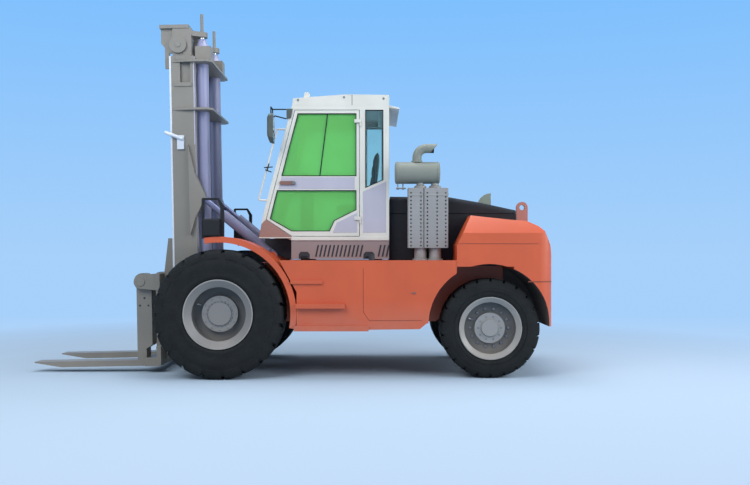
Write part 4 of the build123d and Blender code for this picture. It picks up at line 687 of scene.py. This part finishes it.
# axle, the foot's x from it and distance out
valves = (("front", FRONT_AXLE, -0.232, 1.012), ("rear", REAR_AXLE, -0.215, 0.950))
for hand, side in SIDES:
    for label, axle, x, out in valves:
        foot = (axle.x + x, side * (out - 0.010), axle.z + 0.10)
        tip = (axle.x + x * 1.12, side * (out + 0.045), axle.z + 0.11)
        end = label + "_" + hand
        bars("valve_" + end, [(foot, tip, 0.014, 0.014, (0, 0, 1))], bolt_pale, "wheel_" + end, 0.005)


# Seat: two stuffed cushions on a pedestal with a rubber bellows

def cushion(name, centre, across, along, out, half, crown, back, channels):
    """A stuffed pad: a crowned face with sewn channels over a flatter back, its sides pulled in."""
    mesh = bmesh.new()
    count = 32
    edge = {}
    for height, sign in ((crown, 1), (back, -1)):
        grid = []
        for i in range(count + 1):
            row = []
            for j in range(count + 1):
                u, v = 2 * i / count - 1, 2 * j / count - 1
                rim = abs(u) == 1 or abs(v) == 1
                if rim and (i, j) in edge:
                    row.append(edge[i, j])
                    continue
                level = height * ((1 - u ** 6) * (1 - v ** 6)) ** 0.5
                if sign > 0:
                    level -= sum(0.014 * exp(-((u - c) / 0.06) ** 2) for c in channels) * (1 - v ** 4)
                    level -= 0.010 * exp(-((abs(v) - 0.62) / 0.05) ** 2) * (1 - u ** 4)
                place = Vector(centre) + Vector(along) * (half[0] * u * (1 - 0.05 * (1 - v * v)))
                place += Vector(across) * (half[1] * v * (1 - 0.05 * (1 - u * u))) + Vector(out) * (sign * level)
                vert = mesh.verts.new(place)
                if rim:
                    edge[i, j] = vert
                row.append(vert)
            grid.append(row)
        for i in range(count):
            for j in range(count):
                mesh.faces.new((grid[i][j], grid[i + 1][j], grid[i + 1][j + 1], grid[i][j + 1]))
    smooth(mesh, 70)
    piece(name, mesh, finish["seat_fabric"], "chassis", "seat")


cushion("seat_cushion", (0.80, 0.0, 1.985), (0, 1, 0), (1, 0, 0), (0, 0, 1), (0.25, 0.26), 0.085, 0.045, (-0.35, 0.15))
back_up = Vector((0.12, 0.0, 0.993)).normalized()
back_out = Vector((-back_up.z, 0.0, back_up.x))
back_centre = Vector((1.045, 0.0, (2.06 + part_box("seat")[1].z) / 2))
cushion("seat_back", back_centre, (0, 1, 0), back_up, back_out, (0.325, 0.245), 0.052, 0.035, (-0.4, 0.1, 0.55))
# height and half width of the pedestal and the bellows' folds
bellows = (
    (1.64, 0.17), (1.68, 0.17), (1.70, 0.15), (1.74, 0.17), (1.76, 0.15), (1.80, 0.17), (1.82, 0.15), (1.86, 0.17),
    (1.88, 0.15), (1.90, 0.18), (1.94, 0.18),
)
squareness = 0.35
mesh = bmesh.new()
rings = []
for level, wide in bellows:
    ring = []
    for i in range(24):
        c, s = (copysign(abs(f(2 * pi * i / 24)) ** squareness, f(2 * pi * i / 24)) for f in (cos, sin))
        ring.append(mesh.verts.new((0.83 + wide * c, wide * s, level)))
    rings.append(ring)
bridge(mesh, rings, "open")
piece("seat_pedestal", mesh, finish["black_plastic"], "chassis", "seat")


# Plates, strips and pipes

def plates(name, outlines, place, low, high, material, body, edge=0.002):
    """Flat plates of one thickness. place turns each outline's plane and outward side into the truck's."""
    mesh = bmesh.new()
    for outline in outlines:
        bridge(mesh, [[mesh.verts.new(place @ Vector((*p, level))) for p in outline] for level in (low, high)])
    outward(mesh)
    made = piece(name, mesh, material, body)
    if edge:
        bevelled(made, edge)


def box_outline(x0, x1, z0, z1):
    return ((x0, z0), (x1, z0), (x1, z1), (x0, z1))


def tube(mesh, points, radius, wall=0.006, deep=0.12, sides=24, slant=0.0):
    """A pipe along points in an XZ plane, open at its far end. slant draws the mouth's lower lip back."""
    rings = []
    count = len(points)

    def ring(point, along, r, pull=0.0):
        up = along.cross(Vector((0, 1, 0))).normalized()
        made = []
        for i in range(sides):
            a = 2 * pi * i / sides
            spot = point + Vector((0, 1, 0)) * (r * cos(a)) + up * (r * sin(a))
            made.append(mesh.verts.new(spot - along * (pull * (1 + (point.z - spot.z) / radius) / 2)))
        return made

    ways = [(points[min(i + 1, count - 1)] - points[max(i - 1, 0)]).normalized() for i in range(count)]
    for i in range(count):
        rings.append(ring(points[i], ways[i], radius, slant if i == count - 1 else 0.0))
    rings.append(ring(points[-1], ways[-1], radius - wall, slant))
    rings.append(ring(points[-1] - ways[-1] * deep, ways[-1], radius - wall))
    bridge(mesh, rings)


# Muffler with its bands, tail pipe and upright pipes

MUFFLER_OUT = 0.85
PIPE_XS = (1.582, 1.756)
mesh = bmesh.new()
can = (
    (0.0, 0.095), (0.004, 0.118), (0.014, 0.128), (0.022, 0.128), (0.024, 0.132), (0.034, 0.132), (0.036, 0.128),
    (0.496, 0.128), (0.498, 0.132), (0.508, 0.132), (0.510, 0.128), (0.516, 0.128), (0.526, 0.118), (0.530, 0.095),
)
turned(mesh, can, (1.282, -MUFFLER_OUT, 2.392), (1, 0, 0), 48)
bend = [Vector((1.543, -MUFFLER_OUT, z)) for z in (2.47, 2.52, 2.571)]
for i in range(1, 9):
    a = pi / 2 * i / 8
    bend.append(Vector((1.653 - 0.11 * cos(a), -MUFFLER_OUT, 2.571 + 0.11 * sin(a))))
bend += [Vector((x, -MUFFLER_OUT, 2.681)) for x in (1.70, 1.742, 1.790)]
tube(mesh, bend, 0.054, slant=0.092)
turned(mesh, ((0.0, 0.060), (0.003, 0.066), (0.022, 0.066), (0.025, 0.060)), (1.543, -MUFFLER_OUT, 2.512), (0, 0, 1))
smooth(mesh, 35)
piece("muffler_can", mesh, finish["muffler_paint"], "chassis", "muffler")
pipe = (
    (0.0, 0.094), (0.018, 0.094), (0.020, 0.072), (0.160, 0.072), (0.165, 0.050), (0.84, 0.050), (0.845, 0.072),
    (0.870, 0.072), (0.885, 0.045), (0.935, 0.045),
)
bolt = ((0.0, 0.012), (0.012, 0.012), (0.014, 0.008), (0.10, 0.008))
mesh = bmesh.new()
for x in PIPE_XS:
    turned(mesh, pipe, (x, -MUFFLER_OUT, 1.362), (0, 0, 1))
for x in (1.316, 1.378):
    turned(mesh, bolt, (x, -MUFFLER_OUT, 2.196), (0, 0, 1), 12)
smooth(mesh, 35)
piece("upright_pipes", mesh, finish["shield_steel"], "chassis", "muffler")
plates("muffler_bracket", [box_outline(1.296, 1.414, -0.895, -0.805)], Matrix.Translation((0.0, 0.0, 2.205)),
       0.0, 0.012, finish["shield_steel"], "chassis", 0.003)


# Perforated heat shield, one fluted shell round both pipes

SHIELD_Z = (1.507, 2.209)
SHIELD_SKIN = 0.006
HOLE_R = 0.010
HOLE_PITCH = 0.044
HOLE_LOW = 1.532
HOLE_ROWS = 15
CELL_HALF = 0.016


def perforated(mesh, x0, x1, y, columns):
    """A wall from x0 to x1 at y with eight-sided holes, its inner skin set in towards the pipes."""
    def quad(a, b, low, high, level):
        mesh.faces.new([mesh.verts.new((x, level, z)) for x, z in ((a, low), (b, low), (b, high), (a, high))])

    for level in (y, y + SHIELD_SKIN):
        edges = [x0] + [c + s * CELL_HALF for c in columns for s in (-1, 1)] + [x1]
        for i in range(0, len(edges), 2):
            if edges[i + 1] - edges[i] > 1e-4:
                quad(edges[i], edges[i + 1], SHIELD_Z[0], SHIELD_Z[1], level)
        for c in columns:
            quad(c - CELL_HALF, c + CELL_HALF, SHIELD_Z[0], HOLE_LOW - HOLE_PITCH / 2, level)
            top = HOLE_LOW + HOLE_PITCH * (HOLE_ROWS - 0.5)
            quad(c - CELL_HALF, c + CELL_HALF, top, SHIELD_Z[1], level)
    for c in columns:
        for row in range(HOLE_ROWS):
            z = HOLE_LOW + row * HOLE_PITCH
            rims = []
            for level in (y, y + SHIELD_SKIN):
                rim = [
                    mesh.verts.new((c + HOLE_R * cos(pi * k / 4), level, z + HOLE_R * sin(pi * k / 4)))
                    for k in range(8)
                ]
                corners = [
                    mesh.verts.new((c + a * CELL_HALF, level, z + b * HOLE_PITCH / 2))
                    for a, b in ((1, -1), (1, 1), (-1, 1), (-1, -1))
                ]
                for side in range(4):
                    first, second = corners[side], corners[(side + 1) % 4]
                    k = 2 * side
                    mesh.faces.new((first, second, rim[(k + 1) % 8], rim[k % 8], rim[(k - 1) % 8]))
                rims.append(rim)
            for k in range(8):
                mesh.faces.new((rims[0][k], rims[0][(k + 1) % 8], rims[1][(k + 1) % 8], rims[1][k]))


# x and y along the near wall, then back along the far one
shield_near = (
    (1.434, 0.098), (1.440, 0.108), (1.606, 0.108), (1.618, 0.090), (1.630, 0.108), (1.898, 0.108), (1.904, 0.098),
)
shield_plan = [(x, -MUFFLER_OUT - depth) for x, depth in shield_near]
shield_plan += [(x, -MUFFLER_OUT + depth) for x, depth in reversed(shield_near)]
inner_plan = [tuple(point) for point in grown(shield_plan, -SHIELD_SKIN)]
mesh = bmesh.new()
for i in range(len(shield_plan)):
    k = (i + 1) % len(shield_plan)
    (ax, ay), (bx, by), (cx, cy), (dx, dy) = shield_plan[i], shield_plan[k], inner_plan[k], inner_plan[i]
    if i not in (1, 4):
        for x0, y0, x1, y1 in ((ax, ay, bx, by), (dx, dy, cx, cy)):
            mesh.faces.new([
                mesh.verts.new(spot) for spot in
                ((x0, y0, SHIELD_Z[0]), (x1, y1, SHIELD_Z[0]), (x1, y1, SHIELD_Z[1]), (x0, y0, SHIELD_Z[1]))
            ])
    for z in SHIELD_Z:
        mesh.faces.new([mesh.verts.new((x, y, z)) for x, y in ((ax, ay), (bx, by), (cx, cy), (dx, dy))])
perforated(mesh, 1.440, 1.606, -MUFFLER_OUT - 0.108, (1.468, 1.584))
perforated(mesh, 1.630, 1.898, -MUFFLER_OUT - 0.108, (1.660, 1.774, 1.874))
bmesh.ops.remove_doubles(mesh, verts=mesh.verts, dist=0.0002)
outward(mesh)
shield = piece("heat_shield", mesh, shield_pale, "chassis", "exhaust_shields")
shield.data.materials.append(shade_and_black_trim_paint)
for face in shield.data.polygons:
    x, depth = face.center.x, abs(face.center.y + MUFFLER_OUT)
    # the inner skin gets painted shade, but not at the flute between the pipes
    if abs(face.normal.z) < 0.5 and 1.439 < x < 1.899 and depth < 0.1035 and abs(x - 1.614) > 0.015:
        face.material_index = 1
plates("heat_shield_band", [box_outline(1.430, 1.600, 2.118, 2.142), box_outline(1.628, 1.908, 2.118, 2.142)],
       wall_place(-0.958), 0.0, 0.003, finish["shield_steel"], "chassis", 0.001)


# Mirrors on thin hoops

MIRROR_OUT = 0.920
MIRROR_Z = 2.898
HOOP_OUT = 0.762
head = (
    (-0.090, 0.165), (-0.060, 0.180), (0.055, 0.180), (0.090, 0.150), (0.090, -0.110), (0.060, -0.150),
    (-0.060, -0.166), (-0.090, -0.130),
)
# x, size and how far the foot is drawn up, from the shell's back to the glass
head_depths = ((-0.209, 0.80, 0.040), (-0.190, 0.97, 0.010), (-0.140, 1.0, 0.0), (-0.135, 0.95, 0.0))
hoop = ((-0.008, 3.158), (-0.172, 3.158), (-0.172, 3.088), (-0.008, 3.046))
mirror_plate = ((-0.006, 3.040), (0.044, 3.060), (0.066, 3.166), (-0.006, 3.166))
for hand, side in SIDES:
    mesh = bmesh.new()
    bridge(mesh, [
        [mesh.verts.new((x, side * (MIRROR_OUT + u * grow), MIRROR_Z + v * grow + tuck * (v < 0))) for u, v in head]
        for x, grow, tuck in head_depths
    ])
    outward(mesh)
    shell = piece("mirror_head_" + hand, mesh, mirror_shell, "chassis", "mirrors")
    shell.data.materials.append(mirror_glass)
    for face in shell.data.polygons:
        if face.normal.x > 0.9:
            face.material_index = 1
    bevelled(shell, 0.008, 3)
    near, far = side * HOOP_OUT, side * MIRROR_OUT
    rods = [((a, near, b), (c, near, d), AWAY) for (a, b), (c, d) in zip(hoop, hoop[1:])]
    rods.append(((-0.172, near, 3.158), (-0.172, far + side * 0.005, 3.158), (0, 0, 1)))
    rods.append(((-0.172, far, 3.160), (-0.172, far, 3.050), (1, 0, 0)))
    bars("mirror_hoop_" + hand, [(start, end, 0.014, 0.014, up) for start, end, up in rods],
         seal_rubber, "chassis", 0.003, "mirrors")
    plates("mirror_plate_" + hand, [mirror_plate], wall_place(side * CAB_OUT), 0.0, 0.018, mirror_shell,
           "chassis", 0.003)

# small holder on the left grab rail
holder = (((-0.215, 2.515), (-0.238, 2.425)), ((-0.275, 2.466), (-0.170, 2.474)), ((-0.260, 2.440), (-0.185, 2.412)))
bars("rail_holder", [((a, -0.752, b), (c, -0.752, d), 0.012, 0.012, AWAY) for (a, b), (c, d) in holder],
     seal_rubber, "chassis", 0.003)


# Counterweight with its shoulder edges rounded

CW_REAR = 3.098
CW_CORNER = 0.17
# the edge at the shoulder's foot, then the slope above it and how far that leans in for each metre up
SHOULDER_EDGE_Z = 1.6763
SHOULDER_OUT = 1.160
SHOULDER_Z = 1.663
SHOULDER_SLOPE = 0.7522


def on_shoulder(place):
    return abs(abs(place.y) - (SHOULDER_OUT - (place.z - SHOULDER_Z) * SHOULDER_SLOPE)) < 0.002


def shoulder_edge(edge):
    """Whether an edge runs along the foot or the top of a shoulder."""
    a, b = (vert.co for vert in edge.verts)
    if abs(a.y) < 0.9 or abs(b.y) < 0.9 or abs(a.x - b.x) < 0.6 * edge.calc_length():
        return False
    low = abs(a.z - SHOULDER_EDGE_Z) < 0.003 and abs(b.z - SHOULDER_EDGE_Z) < 0.003
    high = min(a.z, b.z) > SHOULDER_EDGE_Z + 0.0137
    return low or (high and on_shoulder(a) and on_shoulder(b))


source = nodes["counterweight"].data
mesh = bmesh.new()
mesh.from_mesh(source)
bmesh.ops.remove_doubles(mesh, verts=mesh.verts, dist=0.00002)
bmesh.ops.dissolve_limit(mesh, angle_limit=radians(0.4), verts=mesh.verts, edges=mesh.edges, delimit={"MATERIAL"})
bmesh.ops.bevel(mesh, geom=[e for e in mesh.edges if shoulder_edge(e)], offset=0.075, segments=6, profile=0.5,
                affect="EDGES", clamp_overlap=True)
for vert in mesh.verts:
    vert.co.x = min(vert.co.x, CW_REAR)
smooth(mesh, 25)
casting = piece("counterweight_casting", mesh, finish["orange_paint"], "chassis", "counterweight")
for material in list(source.materials)[1:]:
    casting.data.materials.append(material)


# Cab trim

quarter_panel = ((0.905, 1.690), (1.180, 1.690), (1.180, 2.300), (0.905, 2.180))
door_panels = (
    ((-0.105, 2.210), (0.806, 2.210), (0.806, 2.352), (-0.066, 2.352)),
    ((0.836, 1.690), (0.836, 1.930), (0.590, 1.808), (0.545, 1.690)),
)
# the louvre slots and the arches over the cab feet are dark plates of painted shade on the skirt
louvre_rows = ((0.332, 12), (1.078, 3))
louvre_shades = []
for first_x, how_many in louvre_rows:
    for i in range(how_many):
        x = first_x + 0.048 * i
        louvre_shades.append(((x, 1.404), (x + 0.020, 1.404), (x + 0.050, 1.543), (x + 0.030, 1.543)))
foot_xs = (0.204, 0.976)
foot_arch = ((-0.066, 1.376), (0.066, 1.376), (0.066, 1.433), (0.042, 1.463), (-0.042, 1.463), (-0.066, 1.433))
louvre_shades += [[(x + u, z) for u, z in foot_arch] for x in foot_xs]
feet = [box_outline(x - 0.04, x + 0.04, 1.378, 1.412) for x in foot_xs]
sill_strips = [box_outline(0.05, 1.217, 1.600, 1.640), box_outline(-0.336, 0.05, 1.624, 1.634)]
service_seam = (
    (0.911, 1.270), (0.911, 0.771), (0.980, 0.670), (1.586, 0.670), (1.586, 0.676), (0.983, 0.676), (0.917, 0.774),
    (0.917, 1.270),
)
service_latch = [box_outline(1.471, 1.517, 0.979, 0.999)]
roof_seam = [box_outline(0.771, 0.777, 3.213, 3.336)]
roof_eye = ((0.191, 3.290), (0.273, 3.290), (0.262, 3.358), (0.247, 3.373), (0.217, 3.373), (0.202, 3.358))
# a painted highlight down the front edge of each rail
front_rail_highlight = [box_outline(-1.395, -1.373, 0.250, 3.850)]
# a painted highlight down the rear edge of each rail
rear_flange_highlight = [box_outline(-1.105, -1.095, 2.770, 3.770)]
web_bars = [box_outline(-1.314, -1.096, 3.800, 3.850), box_outline(-1.335, -1.122, 3.478, 3.523)]
for hand, side in SIDES:
    cab_wall, skirt, body_wall, eye_wall = (
        wall_place(side * out) for out in (CAB_OUT, SKIRT_OUT, BODY_OUT, ROOF_EYE_OUT)
    )
    mast = LEANED @ wall_place(side * MAST_OUT)
    white, grey = finish["white_paint"], finish["grey_paint"]
    # outlines, wall, how deep and how proud of it, material, body, rounding
    for name, *row in (
        ("quarter_panel_", [quarter_panel], cab_wall, -0.002, 0.002, panel_paint, "chassis", 0.001),
        ("sill_strip_", sill_strips, cab_wall, -0.001, 0.008, white, "chassis", 0.002),
        ("louvres_", louvre_shades, skirt, -0.001, 0.0015, shade_and_black_trim_paint, "chassis", 0.0),
        ("cab_feet_", feet, skirt, 0.001, 0.014, seal_rubber, "chassis", 0.006),
        ("roof_seam_", roof_seam, cab_wall, -0.001, 0.0012, shade_and_black_trim_paint, "chassis", 0.0),
        ("roof_eye_", [roof_eye], eye_wall, 0.0, 0.014, white, "chassis", 0.003),
        ("service_seam_", [service_seam], body_wall, -0.001, 0.001, seam_paint, "chassis", 0.0),
        ("service_latch_", service_latch, body_wall, -0.001, 0.008, handle_brown, "chassis", 0.003),
        ("mast_edge_", front_rail_highlight, mast, -0.0005, 0.001, highlight_and_guide_paint, "outer_mast", 0.0),
        ("mast_web_bars_", web_bars, mast, -0.001, 0.012, grey, "outer_mast", 0.003),
        ("mast_rear_edge_", rear_flange_highlight, mast, -0.0005, 0.001, flange_highlight_paint, "outer_mast", 0.0),
    ):
        plates(name + hand, *row)
TOE_HALF = 0.48
VISOR_HALF = 0.69
toe_outline = ((-0.300, 1.484), (-0.020, 1.376), (0.052, 1.376), (0.052, 1.594), (-0.004, 1.625), (-0.300, 1.625))
visor_outline = ((1.216, 3.190), (1.341, 3.172), (1.341, 3.190), (1.216, 3.222))
plates("door_panels", door_panels, wall_place(-DOOR_OUT), -0.002, 0.0015, panel_paint, "cab_door", 0.001)
plates("toe_box", [toe_outline], wall_place(-TOE_HALF), -2 * TOE_HALF, 0.0, shade_and_black_trim_paint, "chassis", 0.006)
plates("rear_visor", [visor_outline], wall_place(-VISOR_HALF), -2 * VISOR_HALF, 0.0, finish["white_paint"],
       "chassis", 0.006)

# hose guide on the left rail
guide = ((-1.313, 2.712), (-1.228, 2.712), (-1.228, 2.884), (-1.290, 2.884), (-1.313, 2.864))
plates("hose_guide", [guide], LEANED @ wall_place(-MAST_OUT), -0.001, 0.022, highlight_and_guide_paint, "outer_mast", 0.003)
mesh = bmesh.new()
way = Vector((-0.93, 0.0, 0.368)).normalized()
foot = Vector((-1.240, -0.587, 2.836))
tube(mesh, [LEANED @ (foot + way * s) for s in (0.0, 0.1, 0.232)], 0.022, 0.005, 0.05, 20)
smooth(mesh)
piece("hose_guide_tube", mesh, highlight_and_guide_paint, "outer_mast")

# fuel fillers on the side boxes
FILLER_X = 1.011
FILLER_OUT = 1.10
neck = ((0.0, 0.040), (0.004, 0.040), (0.006, 0.034), (0.050, 0.034), (0.052, 0.030))
cap = ((0.0, 0.026), (0.0, 0.030), (0.014, 0.030), (0.017, 0.026))
for hand, side in SIDES:
    mesh = bmesh.new()
    turned(mesh, neck, (FILLER_X, side * FILLER_OUT, 1.361), (0, 0, 1), 24)
    turned(mesh, cap, (FILLER_X, side * FILLER_OUT, 1.4135), (0, 0, 1), 12)
    smooth(mesh, 35)
    piece("filler_" + hand, mesh, shade_and_black_trim_paint, "chassis")

# casting seams of the counterweight
# height, width, x of the ends, x of the rear face there
for level, high, front, rear_x in ((1.551, 0.005, 1.99, 3.066), (1.112, 0.012, 2.80, CW_REAR)):
    centre = Vector((rear_x - CW_CORNER, CW_CORNER - BODY_OUT))
    path = [(front, -BODY_OUT)]
    for i in range(11):
        a = pi / 2 * i / 10
        path.append((centre.x + CW_CORNER * sin(a), centre.y - CW_CORNER * cos(a)))
    path += [(x, -y) for x, y in reversed(path)]
    mesh = bmesh.new()
    rows = []
    for x, y in path:
        away = Vector((x - 2.4, y * 0.9, 0.0)).normalized() * 0.0012
        rows.append([mesh.verts.new(Vector((x, y, z)) + away) for z in (level, level + high)])
    for first, second in zip(rows, rows[1:]):
        mesh.faces.new((first[0], second[0], second[1], first[1]))
    outward(mesh)
    seam = piece("casting_seam_" + str(round(level * 1000)), mesh, seam_paint, "chassis")
    thick = seam.modifiers.new("Thick", "SOLIDIFY")
    thick.thickness = 0.002
    thick.offset = 0.0


# Camera, light and floor

HORIZON = (0.385, 0.632, 0.955, 1.0)
ZENITH = (0.205, 0.520, 0.985, 1.0)
DAYLIGHT = (0.86, 0.92, 1.0, 1.0)
FLOOR_NEAR = (0.40, 0.52, 0.66, 1.0)
FLOOR_FRONT = (0.56, 0.712, 0.935, 1.0)
# metres from the truck between which the floor takes the horizon's colour
HORIZON_BEGINS = 9.0
FLOOR_REACH = 30.0
# shares of that reach between which the floor stops taking shadows
SHADOW_ENDS = (0.09, 0.28)
# y between which the front of the floor turns into the horizon
FRONT_DEPTH = (-6.0, 9.0)


def camera():
    data = bpy.data.cameras.new("Camera")
    data.lens = 39.75
    data.sensor_width = 36
    data.shift_y = 0.01667
    made = placed("Camera", data, (1.048, -10.625, 1.424))
    made.rotation_euler = (pi / 2, 0, 0)
    bpy.context.scene.camera = made


def lamp(name, place, aim, size, power, colour):
    data = bpy.data.lights.new(name, "AREA")
    data.shape = "RECTANGLE"
    data.size, data.size_y = size
    data.energy = power
    data.color = colour
    turn = (Vector(aim) - Vector(place)).to_track_quat("-Z", "Y")
    placed(name, data, place).rotation_euler = turn.to_euler()


def seen_ray(tree):
    """1 for rays from the camera, a gloss or through glass, else 0."""
    path = add(tree, "LightPath", {})
    seen = path.outputs["Is Camera Ray"]
    for name in ("Is Glossy Ray", "Is Transmission Ray"):
        seen = combine(tree, "MAXIMUM", seen, path.outputs[name])
    return seen


def world():
    """Plain daylight on the truck, with a sky behind it for the rays that are seen."""
    made = bpy.data.worlds.new("World")
    made.use_nodes = True
    bpy.context.scene.world = made
    tree = made.node_tree
    light = tree.nodes["Background"]
    plug(tree, light, {"Color": DAYLIGHT, "Strength": 0.42})
    height = add(tree, "SeparateXYZ", {"Vector": coordinates(tree, "Generated")}).outputs["Z"]
    sky = add(tree, "Background", {"Color": ramp(tree, height, 0.0, 0.30, (HORIZON, ZENITH))})
    chosen = add(tree, "MixShader", {"Fac": seen_ray(tree), 1: light.outputs[0], 2: sky.outputs[0]})
    plug(tree, tree.nodes["World Output"], {"Surface": chosen.outputs[0]})


def floor():
    """A pale floor that takes shadows near the truck and fades into the sky far out."""
    mesh = bmesh.new()
    bmesh.ops.create_circle(mesh, cap_ends=True, segments=96, radius=400.0)
    made = placed("Floor", mesh_data("Floor", mesh), (0.0, 0.0, -0.001))
    floor_paint, tree, bsdf = new_material("Floor")
    made.data.materials.append(floor_paint)
    place = coordinates(tree)
    distance = add(tree, "VectorMath", {0: place}, operation="LENGTH").outputs["Value"]
    reach = combine(tree, "DIVIDE", distance, FLOOR_REACH)
    black, white = (0.0, 0.0, 0.0, 1.0), (1.0, 1.0, 1.0, 1.0)
    depth = remap(tree, add(tree, "SeparateXYZ", {"Vector": place}).outputs["Y"], FRONT_DEPTH)
    across = ramp(tree, depth, 0.0, 1.0, (FLOOR_FRONT, HORIZON))
    across = mix(tree, remap(tree, distance, (HORIZON_BEGINS, FLOOR_REACH)), across, HORIZON)
    plug(tree, bsdf, {
        "Base Color": ramp(tree, reach, *SHADOW_ENDS, (FLOOR_NEAR, black)),
        "Emission Color": mix(tree, ramp(tree, reach, *SHADOW_ENDS, (black, white)), black, across),
        "Emission Strength": 1.0,
        "Roughness": 1.0,
        "Specular IOR Level": 0.0,
    })


camera()
world()
floor()
# place, aim, size, power and colour
lamp("Key", (-4.5, -8.0, 8.5), (0.4, 0.0, 1.2), (6.0, 6.0), 720.0, (1.0, 0.98, 0.96))
lamp("Top", (1.0, 0.5, 9.5), (0.6, 0.0, 1.0), (7.0, 5.0), 560.0, (1.0, 1.0, 1.0))
lamp("Fill", (8.5, -7.5, 6.0), (1.2, 0.0, 1.5), (5.0, 5.0), 400.0, (0.96, 0.98, 1.0))
lamp("Rim", (9.5, -3.0, 3.6), (2.6, -0.8, 1.5), (2.0, 3.0), 260.0, (1.0, 0.97, 0.93))

bpy.context.scene.view_settings.view_transform = "Standard"
